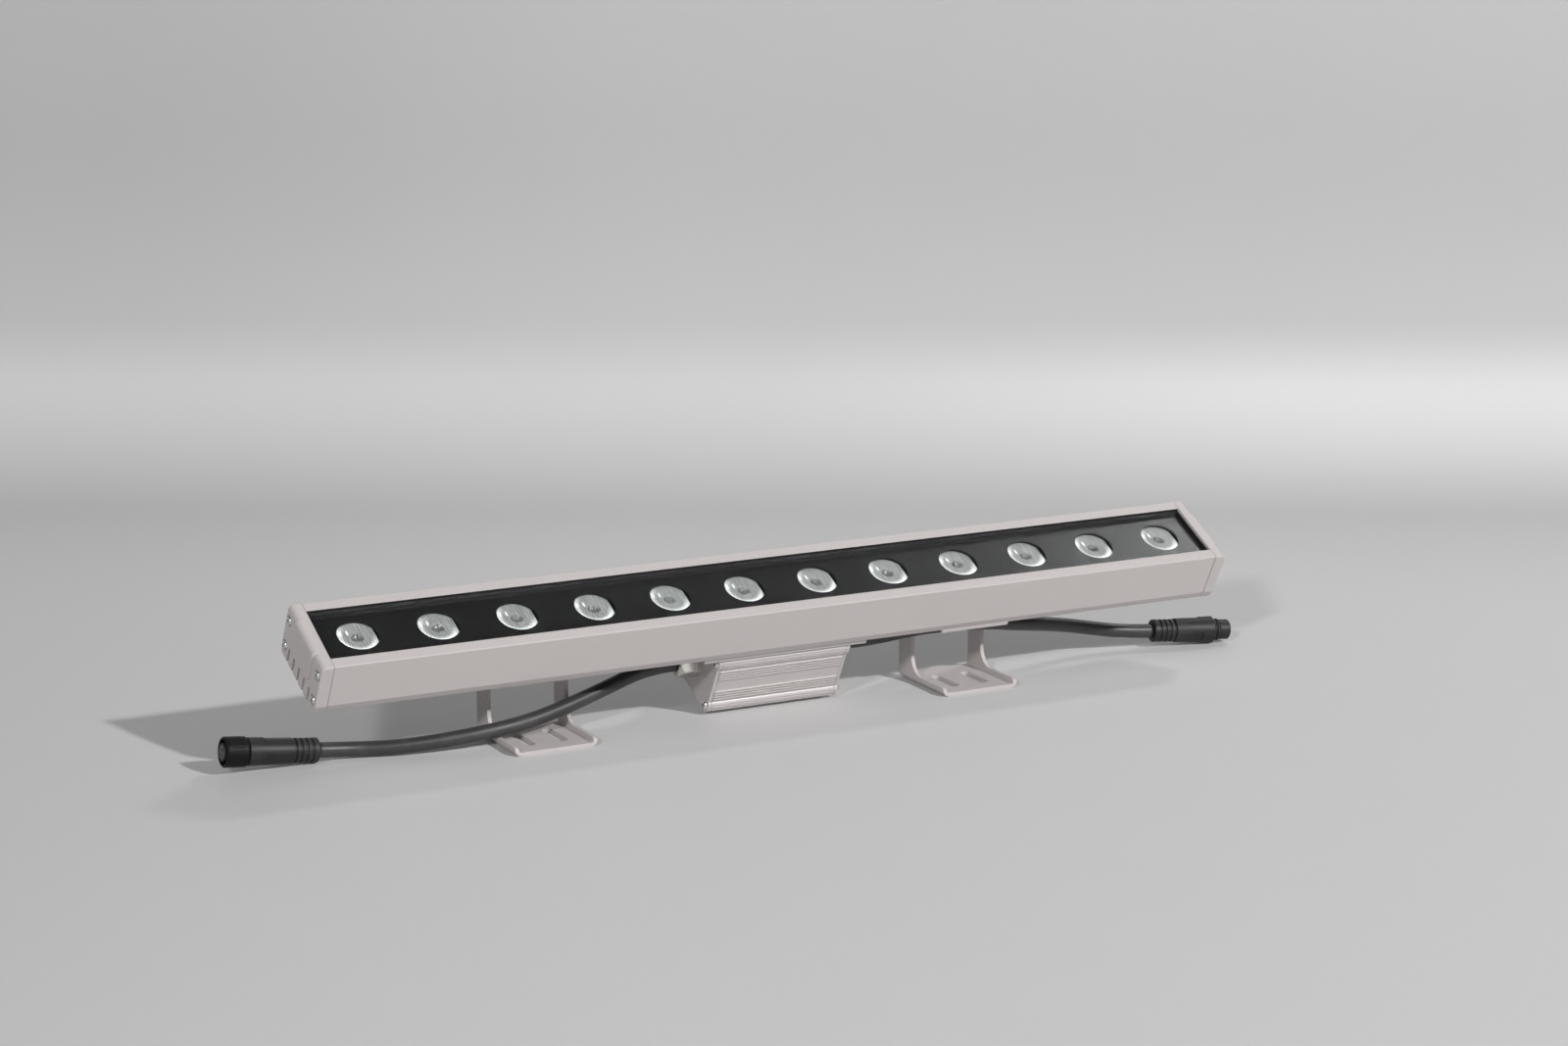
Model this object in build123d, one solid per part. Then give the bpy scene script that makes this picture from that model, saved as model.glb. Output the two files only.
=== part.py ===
from build123d import *
import math
import os

# Linear wall washer light: a lens bar that tilts on two brackets, with a driver box and two leads.
# Millimetres and degrees. +X runs along the bar, +Y to its back, +Z up, z = 0 is the mounting surface.
# Head pieces are drawn upright, with the rim of the bar at z = 0, and then tilted into place.

# Lamp body
lens_count = 12
lens_pitch = 40.6
body_width = 46.5
body_height = 28.0
rim_width = 6.1
rim_round = 0.6
skirt_height = 4.1
skirt_inset = 1.4
web_thickness = 3.5
groove_count = 5
groove_pitch = 6.9
groove_width = 2.6

# Glass panel, its seal and the black mask with a window over each lens
glass_drop = 1.2
glass_thickness = 3.0
glass_edge = 0.3
seal_width = 0.4
mask_thickness = 0.8
mask_side_gap = 0.2
mask_glass_gap = 0.05
window_diameter = 20.4
ledge_width = 1.6

# Lenses, their holders and the light engine
lens_gap = 1.2
lens_diameter = 20.0
lens_across_flats = 18.6
lens_flange_diameter = 21.6
lens_flange_thickness = 1.2
lens_height = 8.4
lens_foot_diameter = 9.6
lens_pocket_diameter = 6.4
lens_pocket_depth = 3.0
lens_dimple_diameter = 6.2
lens_dimple_depth = 1.9
lens_rib_count = 15
lens_rib_height = 0.4
holder_wall = 0.9
holder_fit = 0.15
led_size = 4.4
led_height = 0.9
led_base_height = 0.4
led_dome_diameter = 3.0
led_dome_round = 0.4
lens_foot_gap = 0.3
board_thickness = 1.6
board_side_gap = 0.8
board_end_gap = 2.0
board_screw_gaps = (1, 3, 5)
board_bore_skin = 0.5

# End caps and their gaskets
cap_thickness = 7.0
cap_overhang = 0.2
cap_top_round = 2.8
cap_edge_round = 0.6
cap_pad_height = 0.9
cap_pad_width = 24.4
cap_pad_drop = 17.6
cap_pad_corner = 3.5
cap_pad_round = 0.6
cap_notch_width = 2.2
cap_notch_rise = 8.6
cap_screw_side = 3.5
cap_screw_upper = 7.1
cap_screw_lower = 22.0
cap_recess_depth = 0.7
cap_recess_gap = 0.5
gasket_thickness = 0.3
gasket_inset = 0.1

# Screws: one small size for caps, box ends and the board, one larger size for the plates
screw_shank = 2.5
screw_head = 4.6
screw_head_height = 1.5
cap_screw_length = 12.0
box_screw_length = 9.0
board_screw_length = 4.4
plate_screw_shank = 2.9
plate_screw_head = 5.4
plate_screw_head_height = 1.8
plate_screw_length = 5.4
screw_dome_share = 0.9
screw_fit = 0.1
cross_width = 0.7
cross_depth = 0.8

# Driver box and the plate that carries it
plate_thickness = 3.0
plate_overlap = 9.0
plate_screw_inset = 4.6
box_length = 72.7
box_width = 41.6
box_height = 34.4
bead_height = 7.2
bead_step = 1.2
bead_round = 3.0
bead_groove_width = 0.6
bead_groove_depth = 0.4
bead_groove_offset = 1.1
box_wall = 2.2
box_lid_wall = 2.5
box_corner_wall = 6.2
box_rib_height = 0.5
box_rib_width = 0.8
box_rib_pitch = 1.6
box_rib_count = 4
box_rib_margin = 1.2
end_plate_thickness = 1.6
box_gasket_thickness = 0.6
box_screw_side = 3.0
box_screw_rise = 3.6
box_fastener_x = 24.0
driver_board_thickness = 1.6
driver_board_gap = 0.2
driver_board_drop = 7.4
rail_depth = 1.4
rail_height = 1.2
choke_place = (-9.5, 8.0)
choke_core = 5.0
choke_rim = 10.0
choke_rim_thickness = 1.2
choke_height = 8.0
can_places = ((9.5, 8.5), (9.5, -8.5))
can_diameter = 6.3
can_height = 9.0
can_round = 0.6
large_chip_places = ((-9.5, -8.0), (20.0, 9.0))
large_chip = (8.0, 6.0, 2.4)
small_chip_places = ((-20.0, -9.0), (20.0, -9.0))
small_chip = (5.0, 4.0, 1.6)
table_gap = 0.6

# Wires and the grommet between box and body
grommet_diameter = 6.0
grommet_wall = 1.1
grommet_lip = 1.2
grommet_lip_diameter = 8.4
wire_diameter = 1.3
wire_spacing = 1.9
wire_fit = 0.1
wire_end = 0.7
wire_bend = 2.4

# Leads and glands
cable_diameter = 7.4
gland_thread = 11.6
gland_thread_length = 6.0
gland_flange_across = 13.6
gland_flange_length = 3.4
gland_spigot = 10.0
gland_spigot_length = 5.0
gland_nut_across = 13.0
gland_nut_length = 9.0
gland_nut_dome = 14.6
gland_nut_round = 1.6
gland_nut_mouth = 2.0
gland_fit = 0.1
tail_length = 21.0
tail_bend_run = 4.0

# Tilt of the head and its pivot, given from the middle of the rim plane
tilt = 27.3
tilt_travel = 117.0
pivot_back = 9.7
pivot_drop = 40.0

# Brackets, carriers and pivot bolts
bracket_left_x = -128.7
bracket_right_x = 107.2
bracket_inner_width = 39.1
bracket_sheet = 2.0
bracket_bend = 1.2
leg_width = 12.5
leg_sweep = 10.0
side_flange_height = 4.3
side_corner = 2.4
foot_depth = 46.0
slot_width = 5.2
slot_length = 23.0
slot_spacing = 17.2
slot_setback = 21.0
carrier_gap = 0.3
carrier_thickness = 2.5
left_carrier_front = 20.5
right_carrier_front = 22.2
carrier_back = 19.0
carrier_edge = 0.8
carrier_screw_x = 9.0
lug_thickness = 3.0
lug_radius = 6.5
lug_root = 18.0
pivot_bolt = 5.0
pivot_play = 0.05
pivot_head_across = 8.0
pivot_head_height = 3.4
pivot_washer = 10.0
pivot_washer_thickness = 1.0
pivot_nut_height = 4.0
pivot_bolt_end = 0.8

# Connectors: rear ends on the floor plan, headings, slopes and sizes
left_rear = (-237.2, 9.1)
left_heading = 180.5
left_slope = 6.4
left_flat_turn = 6.0
right_rear = (234.4, 9.7)
right_heading = -10.2
right_slope = -3.0
right_flat_turn = -10.0
boot_diameter = 12.0
boot_core = 10.6
boot_collar = 3.1
boot_rib_count = 3
boot_rib_width = 2.1
boot_groove = 0.75
boot_round = 0.6
shell_rear_diameter = 12.6
shell_diameter = 13.6
shell_length = 23.0
shell_edge = 0.6
shell_flat_count = 3
shell_flat_depth = 0.9
shell_flat_width = 7.4
shell_flat_length = 15.0
shell_flat_corner = 2.4
ring_diameter = 14.6
ring_length = 11.0
ring_bore = 12.2
ring_flange = 2.0
ring_play = 0.05
ring_end_gap = 0.5
ring_edge = 0.8
ring_grip_count = 24
ring_grip_depth = 0.2
ring_grip_width = 0.6
ring_grip_length = 5.4
neck_diameter = 9.0
keeper_diameter = 11.6
keeper_length = 1.0
spigot_diameter = 8.6
spigot_proud = 0.6
spigot_edge = 0.4
insert_diameter = 7.0
insert_depth = 10.0
insert_fit = 0.05
contact_count = 4
contact_circle = 3.8
contact_diameter = 1.4
contact_bore = 0.9
contact_length = 8.0
contact_recess = 0.3
nose_shell_diameter = 14.4
nose_shell_edge = 1.5
nose_diameter = 10.6
nose_length = 8.6
nose_edge = 1.0
nose_mate_gap = 0.15
nose_bore_depth = 5.4
pin_disc = 1.3
pin_setback = 1.0
oring_section = 1.4
oring_groove_depth = 0.9
oring_groove_width = 2.0
oring_setback = 0.7
floor_gap = 0.05

# Routes of the leads between gland and connector, chosen points after the straight run out of the gland
gland_run = 15.0
left_route = (
    (-86.5, 5.2, 19.2),
    (-110.0, 0.2, 14.0),
    (-132.5, -4.0, 10.0),
    (-155.0, -5.6, 8.0),
    (-178.0, -2.2, 5.6),
    (-200.5, 2.4, 4.1),
)
right_route = (
    (85.0, 2.6, 29.4),
    (107.0, 0.4, 29.8),
    (128.0, 1.4, 28.0),
    (147.0, 4.6, 24.3),
    (165.0, 9.0, 21.0),
    (183.0, 13.2, 17.3),
    (200.0, 14.6, 13.4),
)
last_run = 17.0

# Lengths along the bar
body_length = lens_count * lens_pitch
cap_width = body_width + 2 * cap_overhang
cap_inner = body_length / 2 + gasket_thickness
lens_xs = [(index - (lens_count - 1) / 2) * lens_pitch for index in range(lens_count)]
board_screw_xs = [side * gap * lens_pitch for gap in board_screw_gaps for side in (-1, 1)]
groove_ys = [(index - (groove_count - 1) / 2) * groove_pitch for index in range(groove_count)]
fin_y = 1.5 * groove_pitch

# Levels of the head, down from the rim
mask_top = -(glass_drop + glass_thickness)
ledge_level = mask_top - mask_thickness
lens_top = ledge_level - lens_gap
lens_bottom = lens_top - lens_height
board_top = lens_bottom - lens_foot_gap
led_top = board_top + led_height
cavity_floor = board_top - board_thickness
groove_top = cavity_floor - web_thickness
plate_top = -body_height
box_top = plate_top - plate_thickness
box_bottom = box_top - box_height
box_middle = (box_top + box_bottom) / 2
lid_inside = box_top - box_lid_wall
driver_board_top = box_middle - driver_board_drop + driver_board_thickness

# Widths of the head
window_width = body_width - 2 * rim_width
cavity_width = window_width - 2 * ledge_width
glass_width = window_width - 2 * seal_width
glass_length = body_length - 2 * seal_width
board_width = cavity_width - 2 * board_side_gap
shell_wall_width = box_width - 2 * bead_step
shell_run = box_length - 2 * (end_plate_thickness + box_gasket_thickness)
box_inner_width = shell_wall_width - 2 * box_wall
box_end = box_length / 2
bead_middle = (box_height - bead_height) / 2
plate_length = box_length + 2 * plate_overlap

# Place of the head over the surface, with the whole lamp centred on Y
tilt_cos = math.cos(math.radians(tilt))
tilt_sin = math.sin(math.radians(tilt))
head_z = table_gap + box_width / 2 * tilt_sin - box_bottom * tilt_cos
front_reach = cap_width / 2 * tilt_cos
back_reach = box_width / 2 * tilt_cos - box_bottom * tilt_sin
head_y = (front_reach - back_reach) / 2
head_place = Pos(0, head_y, head_z) * Rot(tilt, 0, 0)
pivot_y = head_y + pivot_back * tilt_cos + pivot_drop * tilt_sin
pivot_z = head_z + pivot_back * tilt_sin - pivot_drop * tilt_cos
gland_y = head_y - box_middle * tilt_sin
gland_z = head_z + box_middle * tilt_cos
gland_face = box_end + gland_flange_length + gland_nut_length

# Joint stack across one side of a bracket, out from its middle
carrier_length = bracket_inner_width - 2 * carrier_gap
lug_outer = carrier_length / 2
lug_inner = lug_outer - lug_thickness
leg_inner = bracket_inner_width / 2
leg_outer = leg_inner + bracket_sheet
washer_inner = leg_outer + pivot_play
bolt_head_inner = washer_inner + pivot_washer_thickness
bolt_hole = pivot_bolt + 2 * pivot_play

# Lengths along the connectors
boot_length = boot_collar + boot_groove + boot_rib_count * (boot_rib_width + boot_groove)
shell_end = boot_length + shell_length
ring_start = shell_end + ring_end_gap
ring_end = ring_start + ring_length
neck_end = ring_start + ring_flange + ring_end_gap
spigot_end = ring_end + spigot_proud
nose_end = shell_end + nose_length
nose_bore_start = nose_end - nose_bore_depth
oring_middle = shell_end + oring_setback + oring_groove_width / 2
oring_seat = nose_diameter - 2 * oring_groove_depth

# Places of the connectors: the left one stands on its boot, the right one on the front of its shell
left_rear_z = boot_diameter / 2 + floor_gap
right_drop = (shell_end - nose_shell_edge) * math.sin(math.radians(right_slope))
right_rear_z = nose_shell_diameter / 2 + floor_gap - right_drop
left_place = Pos(*left_rear, left_rear_z) * Rot(0, 0, left_heading) * Rot(0, -left_slope, 0)
right_place = Pos(*right_rear, right_rear_z) * Rot(0, 0, right_heading) * Rot(0, -right_slope, 0)

low_align = (Align.CENTER, Align.CENTER, Align.MIN)


def rod_x(diameter, start, end, y=0.0, z=0.0):
    """Round bar along X from start to end."""
    bar = Cylinder(diameter / 2, abs(end - start), align=low_align)
    return Pos(min(start, end), y, z) * Rot(0, 90, 0) * bar


def taper_x(rear, front, start, end):
    """Round bar along X whose diameter changes from rear to front."""
    return Pos(start, 0, 0) * Rot(0, 90, 0) * Cone(rear / 2, front / 2, end - start, align=low_align)


def rod_z(diameter, low, high, x=0.0, y=0.0):
    """Round bar along Z from low to high."""
    return Pos(x, y, low) * Cylinder(diameter / 2, high - low, align=low_align)


def block(x_span, y_span, z_span):
    """Box between the given limits on each axis."""
    sizes = [span[1] - span[0] for span in (x_span, y_span, z_span)]
    middles = [(span[1] + span[0]) / 2 for span in (x_span, y_span, z_span)]
    return Pos(*middles) * Box(*sizes)


def hex_x(across, start, end):
    """Hexagonal bar along X, given across its flats."""
    face = Plane.YZ * RegularPolygon(across / math.sqrt(3), 6)
    return Pos(start, 0, 0) * extrude(face, end - start, dir=(1, 0, 0))


def run_x(section, length):
    """Section in the YZ plane carried along X, centred on x = 0."""
    return extrude(Plane.YZ * section, length / 2, dir=(1, 0, 0), both=True)


def grouped(solids):
    """Separate solids kept together in one node."""
    return Compound(children=list(solids))


def pan_screw(shank, head, head_height, length):
    """Cross-recessed screw along Z: head seat at z = 0, shank below it."""
    blank = Cylinder(head / 2, head_height, align=low_align)
    top = fillet(blank.edges().group_by(Axis.Z)[-1], screw_dome_share * head_height)
    body = top + rod_z(shank, -length, 0)
    for turn in (0, 90):
        bar = block((-head / 3, head / 3), (-cross_width / 2, cross_width / 2),
                    (head_height - cross_depth, head_height + 1))
        body -= Rot(0, 0, turn) * bar
    return body


def case_screw(length):
    """Small screw used on the caps, the box ends and the light board."""
    return pan_screw(screw_shank, screw_head, screw_head_height, length)


def plate_screw():
    """Larger screw used on the plate, the box and the carriers."""
    return pan_screw(plate_screw_shank, plate_screw_head, plate_screw_head_height, plate_screw_length)


# Lamp body

def body_outline(grow=0.0):
    """Cross-section of the bar without its channels: square rim, straight sides and an inset skirt."""
    half = body_width / 2 + grow
    low = -body_height
    points = [(-half, 0), (half, 0), (half, low + skirt_height), (half - skirt_inset, low),
              (skirt_inset - half, low), (-half, low + skirt_height)]
    return make_face(Polyline(points, close=True))


def cap_screw_places():
    """Corner screws of the caps, as (y, z)."""
    side = body_width / 2 - cap_screw_side
    return [(y, -drop) for y in (-side, side) for drop in (cap_screw_upper, cap_screw_lower)]


def plate_screw_places():
    """Screws through the ends of the box plate into the fins, as (x, y)."""
    reach = plate_length / 2 - plate_screw_inset
    return [(x, y) for x in (-reach, reach) for y in (-fin_y, fin_y)]


def box_fastener_places():
    """Screws from inside the box into its plate, as (x, y)."""
    return [(x, y) for x in (-box_fastener_x, box_fastener_x) for y in (-fin_y, fin_y)]


def carrier_screw_places():
    """Screws of both carriers into the fins, as (x, y)."""
    centres = (bracket_left_x, bracket_right_x)
    return [(centre + side * carrier_screw_x, -fin_y) for centre in centres for side in (-1, 1)]


def housing():
    section = body_outline()
    section = fillet(section.vertices().group_by(Axis.Y)[-1], rim_round)
    channel_top = (Align.CENTER, Align.MAX)
    section -= Rectangle(window_width, -ledge_level, align=channel_top)
    section -= Rectangle(cavity_width, -cavity_floor, align=channel_top)
    for y in groove_ys:
        section -= Pos(y, groove_top) * Rectangle(groove_width, body_height, align=channel_top)
    for y, z in cap_screw_places():
        section -= Pos(y, z) * Circle((screw_shank + screw_fit) / 2)
    bar = run_x(section, body_length)
    for x in board_screw_xs:
        bar -= rod_z(screw_shank + screw_fit, groove_top + board_bore_skin, cavity_floor, x)
    bar -= rod_z(grommet_diameter + screw_fit, plate_top, cavity_floor)
    bore_top = plate_top + plate_screw_length
    for x, y in plate_screw_places() + carrier_screw_places():
        bar -= rod_z(plate_screw_shank + screw_fit, plate_top, bore_top, x, y)
    return bar


def notched(plate, low, high):
    """Plate with the open notches of the cap's lower edge cut through it from x = low to high."""
    notch_top = -body_height + cap_notch_rise - cap_notch_width / 2
    for y in groove_ys:
        plate -= block((low, high), (y - cap_notch_width / 2, y + cap_notch_width / 2),
                       (-body_height - 1, notch_top))
        plate -= rod_x(cap_notch_width, low, high, y, notch_top)
    return plate


def soft_fronted(shape, edge_round):
    """Shape with a large round along the top edge of its +X face and a small one along the other edges."""
    top_edge = shape.faces().sort_by(Axis.X)[-1].edges().sort_by(Axis.Z)[-1]
    shape = fillet(top_edge, cap_top_round)
    rest = shape.faces().filter_by(Axis.X).sort_by(Axis.X)[-1].edges().group_by(Axis.Z)[:-1]
    return fillet([edge for group in rest for edge in group], edge_round)


def end_cap():
    """Right-hand cap, with its inner face at x = 0."""
    base_thickness = cap_thickness - cap_pad_height
    base = extrude(Plane.YZ * body_outline(cap_overhang), base_thickness, dir=(1, 0, 0))
    pad = block((0, cap_thickness), (-cap_pad_width / 2, cap_pad_width / 2), (-cap_pad_drop, 0))
    pad = fillet(pad.edges().filter_by(Axis.X).group_by(Axis.Z)[0], cap_pad_corner)
    cap = soft_fronted(base, cap_edge_round) + soft_fronted(pad, cap_pad_round)
    cap = notched(cap, -1, cap_thickness + 1)
    for y, z in cap_screw_places():
        cap -= rod_x(screw_shank + 4 * screw_fit, -1, cap_thickness, y, z)
        cap -= rod_x(screw_head + 2 * cap_recess_gap, base_thickness - cap_recess_depth, cap_thickness, y, z)
    return cap


def cap_gasket():
    """Gasket behind the right-hand cap, from x = 0 to its thickness."""
    sheet = extrude(Plane.YZ * body_outline(-gasket_inset), gasket_thickness, dir=(1, 0, 0))
    sheet = Pos(0, 0, -gasket_inset) * sheet
    sheet = notched(sheet, -1, gasket_thickness + 1)
    sheet -= block((-1, gasket_thickness + 1), (-body_width, body_width), (-2 * body_height, -body_height))
    for y, z in cap_screw_places():
        sheet -= rod_x(screw_shank + 4 * screw_fit, -1, gasket_thickness + 1, y, z)
    return sheet


def both_ends(shape):
    """A right-hand piece and its mirror image on the left."""
    return [mirror(shape, about=Plane.YZ), shape]


def cap_screws():
    seat = cap_inner + cap_thickness - cap_pad_height - cap_recess_depth
    screws = []
    for y, z in cap_screw_places():
        screws += both_ends(Pos(seat, y, z) * Rot(0, 90, 0) * case_screw(cap_screw_length))
    return grouped(screws)


# Glass panel and light engine

def front_glass():
    sheet = block((-glass_length / 2, glass_length / 2), (-glass_width / 2, glass_width / 2),
                  (mask_top, -glass_drop))
    return chamfer(sheet.edges().group_by(Axis.Z)[-1], glass_edge)


def glass_seal():
    levels = (mask_top, -glass_drop - glass_edge)
    outer = block((-body_length / 2, body_length / 2), (-window_width / 2, window_width / 2), levels)
    return outer - block((-glass_length / 2, glass_length / 2), (-glass_width / 2, glass_width / 2), levels)


def lens_mask():
    half_length = body_length / 2 - mask_side_gap
    half_width = window_width / 2 - mask_side_gap
    plate = block((-half_length, half_length), (-half_width, half_width),
                  (ledge_level, mask_top - mask_glass_gap))
    for x in lens_xs:
        plate -= rod_z(window_diameter, ledge_level - 1, mask_top + 1, x)
    return plate


def lens():
    """Lens at x = 0: ribbed top with a dimple, flat sides, flange and a cone down to the light source."""
    pitch = lens_across_flats / lens_rib_count
    flat = lens_across_flats / 2
    flange_bottom = lens_top - lens_flange_thickness
    edges = []
    for index in range(lens_rib_count):
        x = index * pitch - flat
        crown = (x + pitch / 2, lens_top + lens_rib_height)
        edges.append(ThreePointArc((x, lens_top), crown, (x + pitch, lens_top)))
    edges.append(Polyline((flat, lens_top), (flat, flange_bottom), (-flat, flange_bottom), (-flat, lens_top)))
    ribbed = extrude(Plane.XZ * make_face(edges), lens_diameter, both=True)
    ribbed &= rod_z(lens_diameter, flange_bottom, lens_top + 2 * lens_rib_height)
    base = rod_z(lens_flange_diameter, flange_bottom, lens_top)
    base += Pos(0, 0, (flange_bottom + lens_bottom) / 2) * Cone(
        lens_foot_diameter / 2, lens_diameter / 2 - holder_fit, flange_bottom - lens_bottom)
    base &= block((-flat, flat), (-lens_diameter, lens_diameter), (lens_bottom - 1, lens_top))
    body = ribbed + base
    dimple_radius = (lens_dimple_diameter**2 / 4 + lens_dimple_depth**2) / (2 * lens_dimple_depth)
    body -= Pos(0, 0, lens_top - lens_dimple_depth + dimple_radius) * Sphere(dimple_radius)
    body -= rod_z(lens_pocket_diameter, lens_bottom - 1, lens_bottom + lens_pocket_depth)
    return body


def lens_holder():
    """Cup at x = 0 that stands on the light board and carries one lens by its flange."""
    bore = lens_flange_diameter + 2 * holder_fit
    seat = lens_top - lens_flange_thickness
    cup = rod_z(bore + 2 * holder_wall, board_top, lens_top)
    cup -= rod_z(bore, seat, lens_top + 1)
    cup -= rod_z(lens_diameter, board_top - 1, seat)
    return cup


def led_board():
    half_length = body_length / 2 - board_end_gap
    board = block((-half_length, half_length), (-board_width / 2, board_width / 2), (cavity_floor, board_top))
    for x in board_screw_xs:
        board -= rod_z(screw_shank + 4 * screw_fit, cavity_floor - 1, board_top + 1, x)
    for y in wire_ys():
        board -= rod_z(wire_diameter + 2 * wire_fit, cavity_floor - 1, board_top + 1, 0, y)
    return board


def led_package():
    """Light source at x = 0: a square base with a dome."""
    half = led_size / 2
    base = block((-half, half), (-half, half), (board_top, board_top + led_base_height))
    dome = rod_z(led_dome_diameter, board_top + led_base_height, led_top)
    dome = fillet(dome.edges().group_by(Axis.Z)[-1], led_dome_round)
    return base + dome


def board_screws():
    return grouped(Pos(x, 0, board_top) * case_screw(board_screw_length) for x in board_screw_xs)


# Driver box

def box_screw_places():
    """Corner screws of the box ends, as (y, z)."""
    side = box_width / 2 - box_screw_side
    rise = box_height / 2 - box_screw_rise
    return [(y, box_middle + z) for y in (-side, side) for z in (-rise, rise)]


def rib_levels():
    """Fine ribs in two bands between the beads, measured from the middle of the box."""
    top = box_height / 2 - bead_height - box_rib_margin
    band = [top - index * box_rib_pitch for index in range(box_rib_count)]
    return band + [-level for level in band]


def bead_grooves():
    """Levels of the fine grooves in the beads, measured from the middle of the box."""
    levels = [bead_middle - bead_groove_offset, bead_middle + bead_groove_offset]
    return levels + [-level for level in levels]


def box_outline():
    """Outside of the box round its own middle: flat sides between proud rounded beads."""
    face = Rectangle(shell_wall_width, box_height - 2 * bead_round)
    for side in (-1, 1):
        face += Pos(0, side * bead_middle) * RectangleRounded(box_width, bead_height, bead_round)
    return face


def box_section():
    """Box tube round its own middle: grooved beads along the edges, fine ribs and board rails."""
    section = box_outline()
    for side in (-1, 1):
        for level in rib_levels():
            section += Pos(side * shell_wall_width / 2, level) * Rectangle(2 * box_rib_height, box_rib_width)
        for level in bead_grooves():
            section -= Pos(side * box_width / 2, level) * Rectangle(2 * bead_groove_depth, bead_groove_width)
    section -= Rectangle(box_inner_width, box_height - 2 * bead_height)
    section -= Rectangle(box_width - 2 * box_corner_wall, box_height - 2 * box_lid_wall)
    rail_gap = driver_board_gap / 2
    board_low = driver_board_top - driver_board_thickness - box_middle
    board_high = driver_board_top - box_middle
    for side in (-1, 1):
        edge = side * (box_inner_width - rail_depth) / 2
        section += Pos(edge, board_low - rail_gap - rail_height / 2) * Rectangle(rail_depth, rail_height)
        section += Pos(edge, board_high + rail_gap + rail_height / 2) * Rectangle(rail_depth, rail_height)
    return section


def box_shell():
    shell = Pos(0, 0, box_middle) * run_x(box_section(), shell_run)
    for y, z in box_screw_places():
        shell -= rod_x(screw_shank + screw_fit, -box_length, box_length, y, z)
    for x, y in box_fastener_places():
        shell -= rod_z(plate_screw_shank + 2 * screw_fit, lid_inside - 1, box_top + 1, x, y)
    shell -= rod_z(grommet_diameter + screw_fit, lid_inside - 1, box_top + 1)
    return shell


def box_end_piece(face, low, high, bore):
    """Plate across the right end of the box, with its cable hole and screw holes."""
    plate = Pos(low, 0, box_middle) * extrude(Plane.YZ * face, high - low, dir=(1, 0, 0))
    plate -= rod_x(bore, low - 1, high + 1, 0, box_middle)
    for y, z in box_screw_places():
        plate -= rod_x(screw_shank + 4 * screw_fit, low - 1, high + 1, y, z)
    return plate


def box_end_plate():
    return box_end_piece(box_outline(), box_end - end_plate_thickness, box_end, gland_thread + 2 * gland_fit)


def box_gasket():
    inner = shell_run / 2
    face = offset(box_outline(), -gasket_inset)
    return box_end_piece(face, inner, inner + box_gasket_thickness, gland_thread + 4 * gland_fit)


def box_end_screws():
    screws = []
    for y, z in box_screw_places():
        screws += both_ends(Pos(box_end, y, z) * Rot(0, 90, 0) * case_screw(box_screw_length))
    return grouped(screws)


def box_mount_plate():
    half = plate_length / 2
    plate = block((-half, half), (-box_width / 2, box_width / 2), (box_top, plate_top))
    plate = fillet(plate.edges().filter_by(Axis.Z), rim_round)
    for x, y in plate_screw_places() + box_fastener_places():
        plate -= rod_z(plate_screw_shank + screw_fit, box_top - 1, plate_top + 1, x, y)
    return plate - rod_z(grommet_diameter + screw_fit, box_top - 1, plate_top + 1)


def plate_screws():
    upright = Rot(180, 0, 0) * plate_screw()
    ends = [Pos(x, y, box_top) * upright for x, y in plate_screw_places()]
    inside = [Pos(x, y, lid_inside) * upright for x, y in box_fastener_places()]
    return grouped(ends + inside)


def supply_lead_x():
    """Distance from the middle of the box at which the supply wires drop to the driver board."""
    return box_end + gland_flange_length + gland_nut_length - tail_length - tail_bend_run


def driver_board():
    half = shell_run / 2 - 2 * driver_board_gap
    width = box_inner_width - 2 * driver_board_gap
    low = driver_board_top - driver_board_thickness
    board = block((-half, half), (-width / 2, width / 2), (low, driver_board_top))
    for x in (-supply_lead_x(), 0, supply_lead_x()):
        for y in wire_ys():
            board -= rod_z(wire_diameter + 2 * wire_fit, low - 1, driver_board_top + 1, x, y)
    return board


def driver_parts():
    """Choke, capacitors and power devices that stand on the driver board."""
    top = driver_board_top
    choke = rod_z(choke_core, top, top + choke_height, *choke_place)
    for low in (top, top + choke_height - choke_rim_thickness):
        choke += rod_z(choke_rim, low, low + choke_rim_thickness, *choke_place)
    parts = [choke]
    for x, y in can_places:
        can = rod_z(can_diameter, top, top + can_height, x, y)
        parts.append(fillet(can.edges().group_by(Axis.Z)[-1], can_round))
    for places, (length, width, height) in ((large_chip_places, large_chip), (small_chip_places, small_chip)):
        for x, y in places:
            parts.append(Pos(x, y, top) * Box(length, width, height, align=low_align))
    return grouped(parts)


# Wires, glands and the ends of the leads inside them

def wire_ys():
    """The two wires of a pair, either side of the middle."""
    return (-wire_spacing / 2, wire_spacing / 2)


def lead_grommet():
    tube = rod_z(grommet_diameter, lid_inside, cavity_floor)
    tube += rod_z(grommet_lip_diameter, lid_inside - grommet_lip, lid_inside)
    return tube - rod_z(grommet_diameter - 2 * grommet_wall, lid_inside - 2 * grommet_lip, cavity_floor + 1)


def board_leads():
    low = driver_board_top - driver_board_thickness - wire_end
    return grouped(rod_z(wire_diameter, low, board_top + wire_end, 0, y) for y in wire_ys())


def supply_leads():
    """Wire pairs from the ends of the leads down to the driver board."""
    start = supply_lead_x() + tail_bend_run
    low = driver_board_top - driver_board_thickness - wire_end
    wires = []
    for y in wire_ys():
        route = FilletPolyline((start, y, box_middle), (supply_lead_x(), y, box_middle),
                               (supply_lead_x(), y, low), radius=wire_bend)
        profile = Plane.YZ.offset(start) * Pos(y, box_middle) * Circle(wire_diameter / 2)
        wires += both_ends(sweep(profile, route))
    return grouped(wires)


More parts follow.
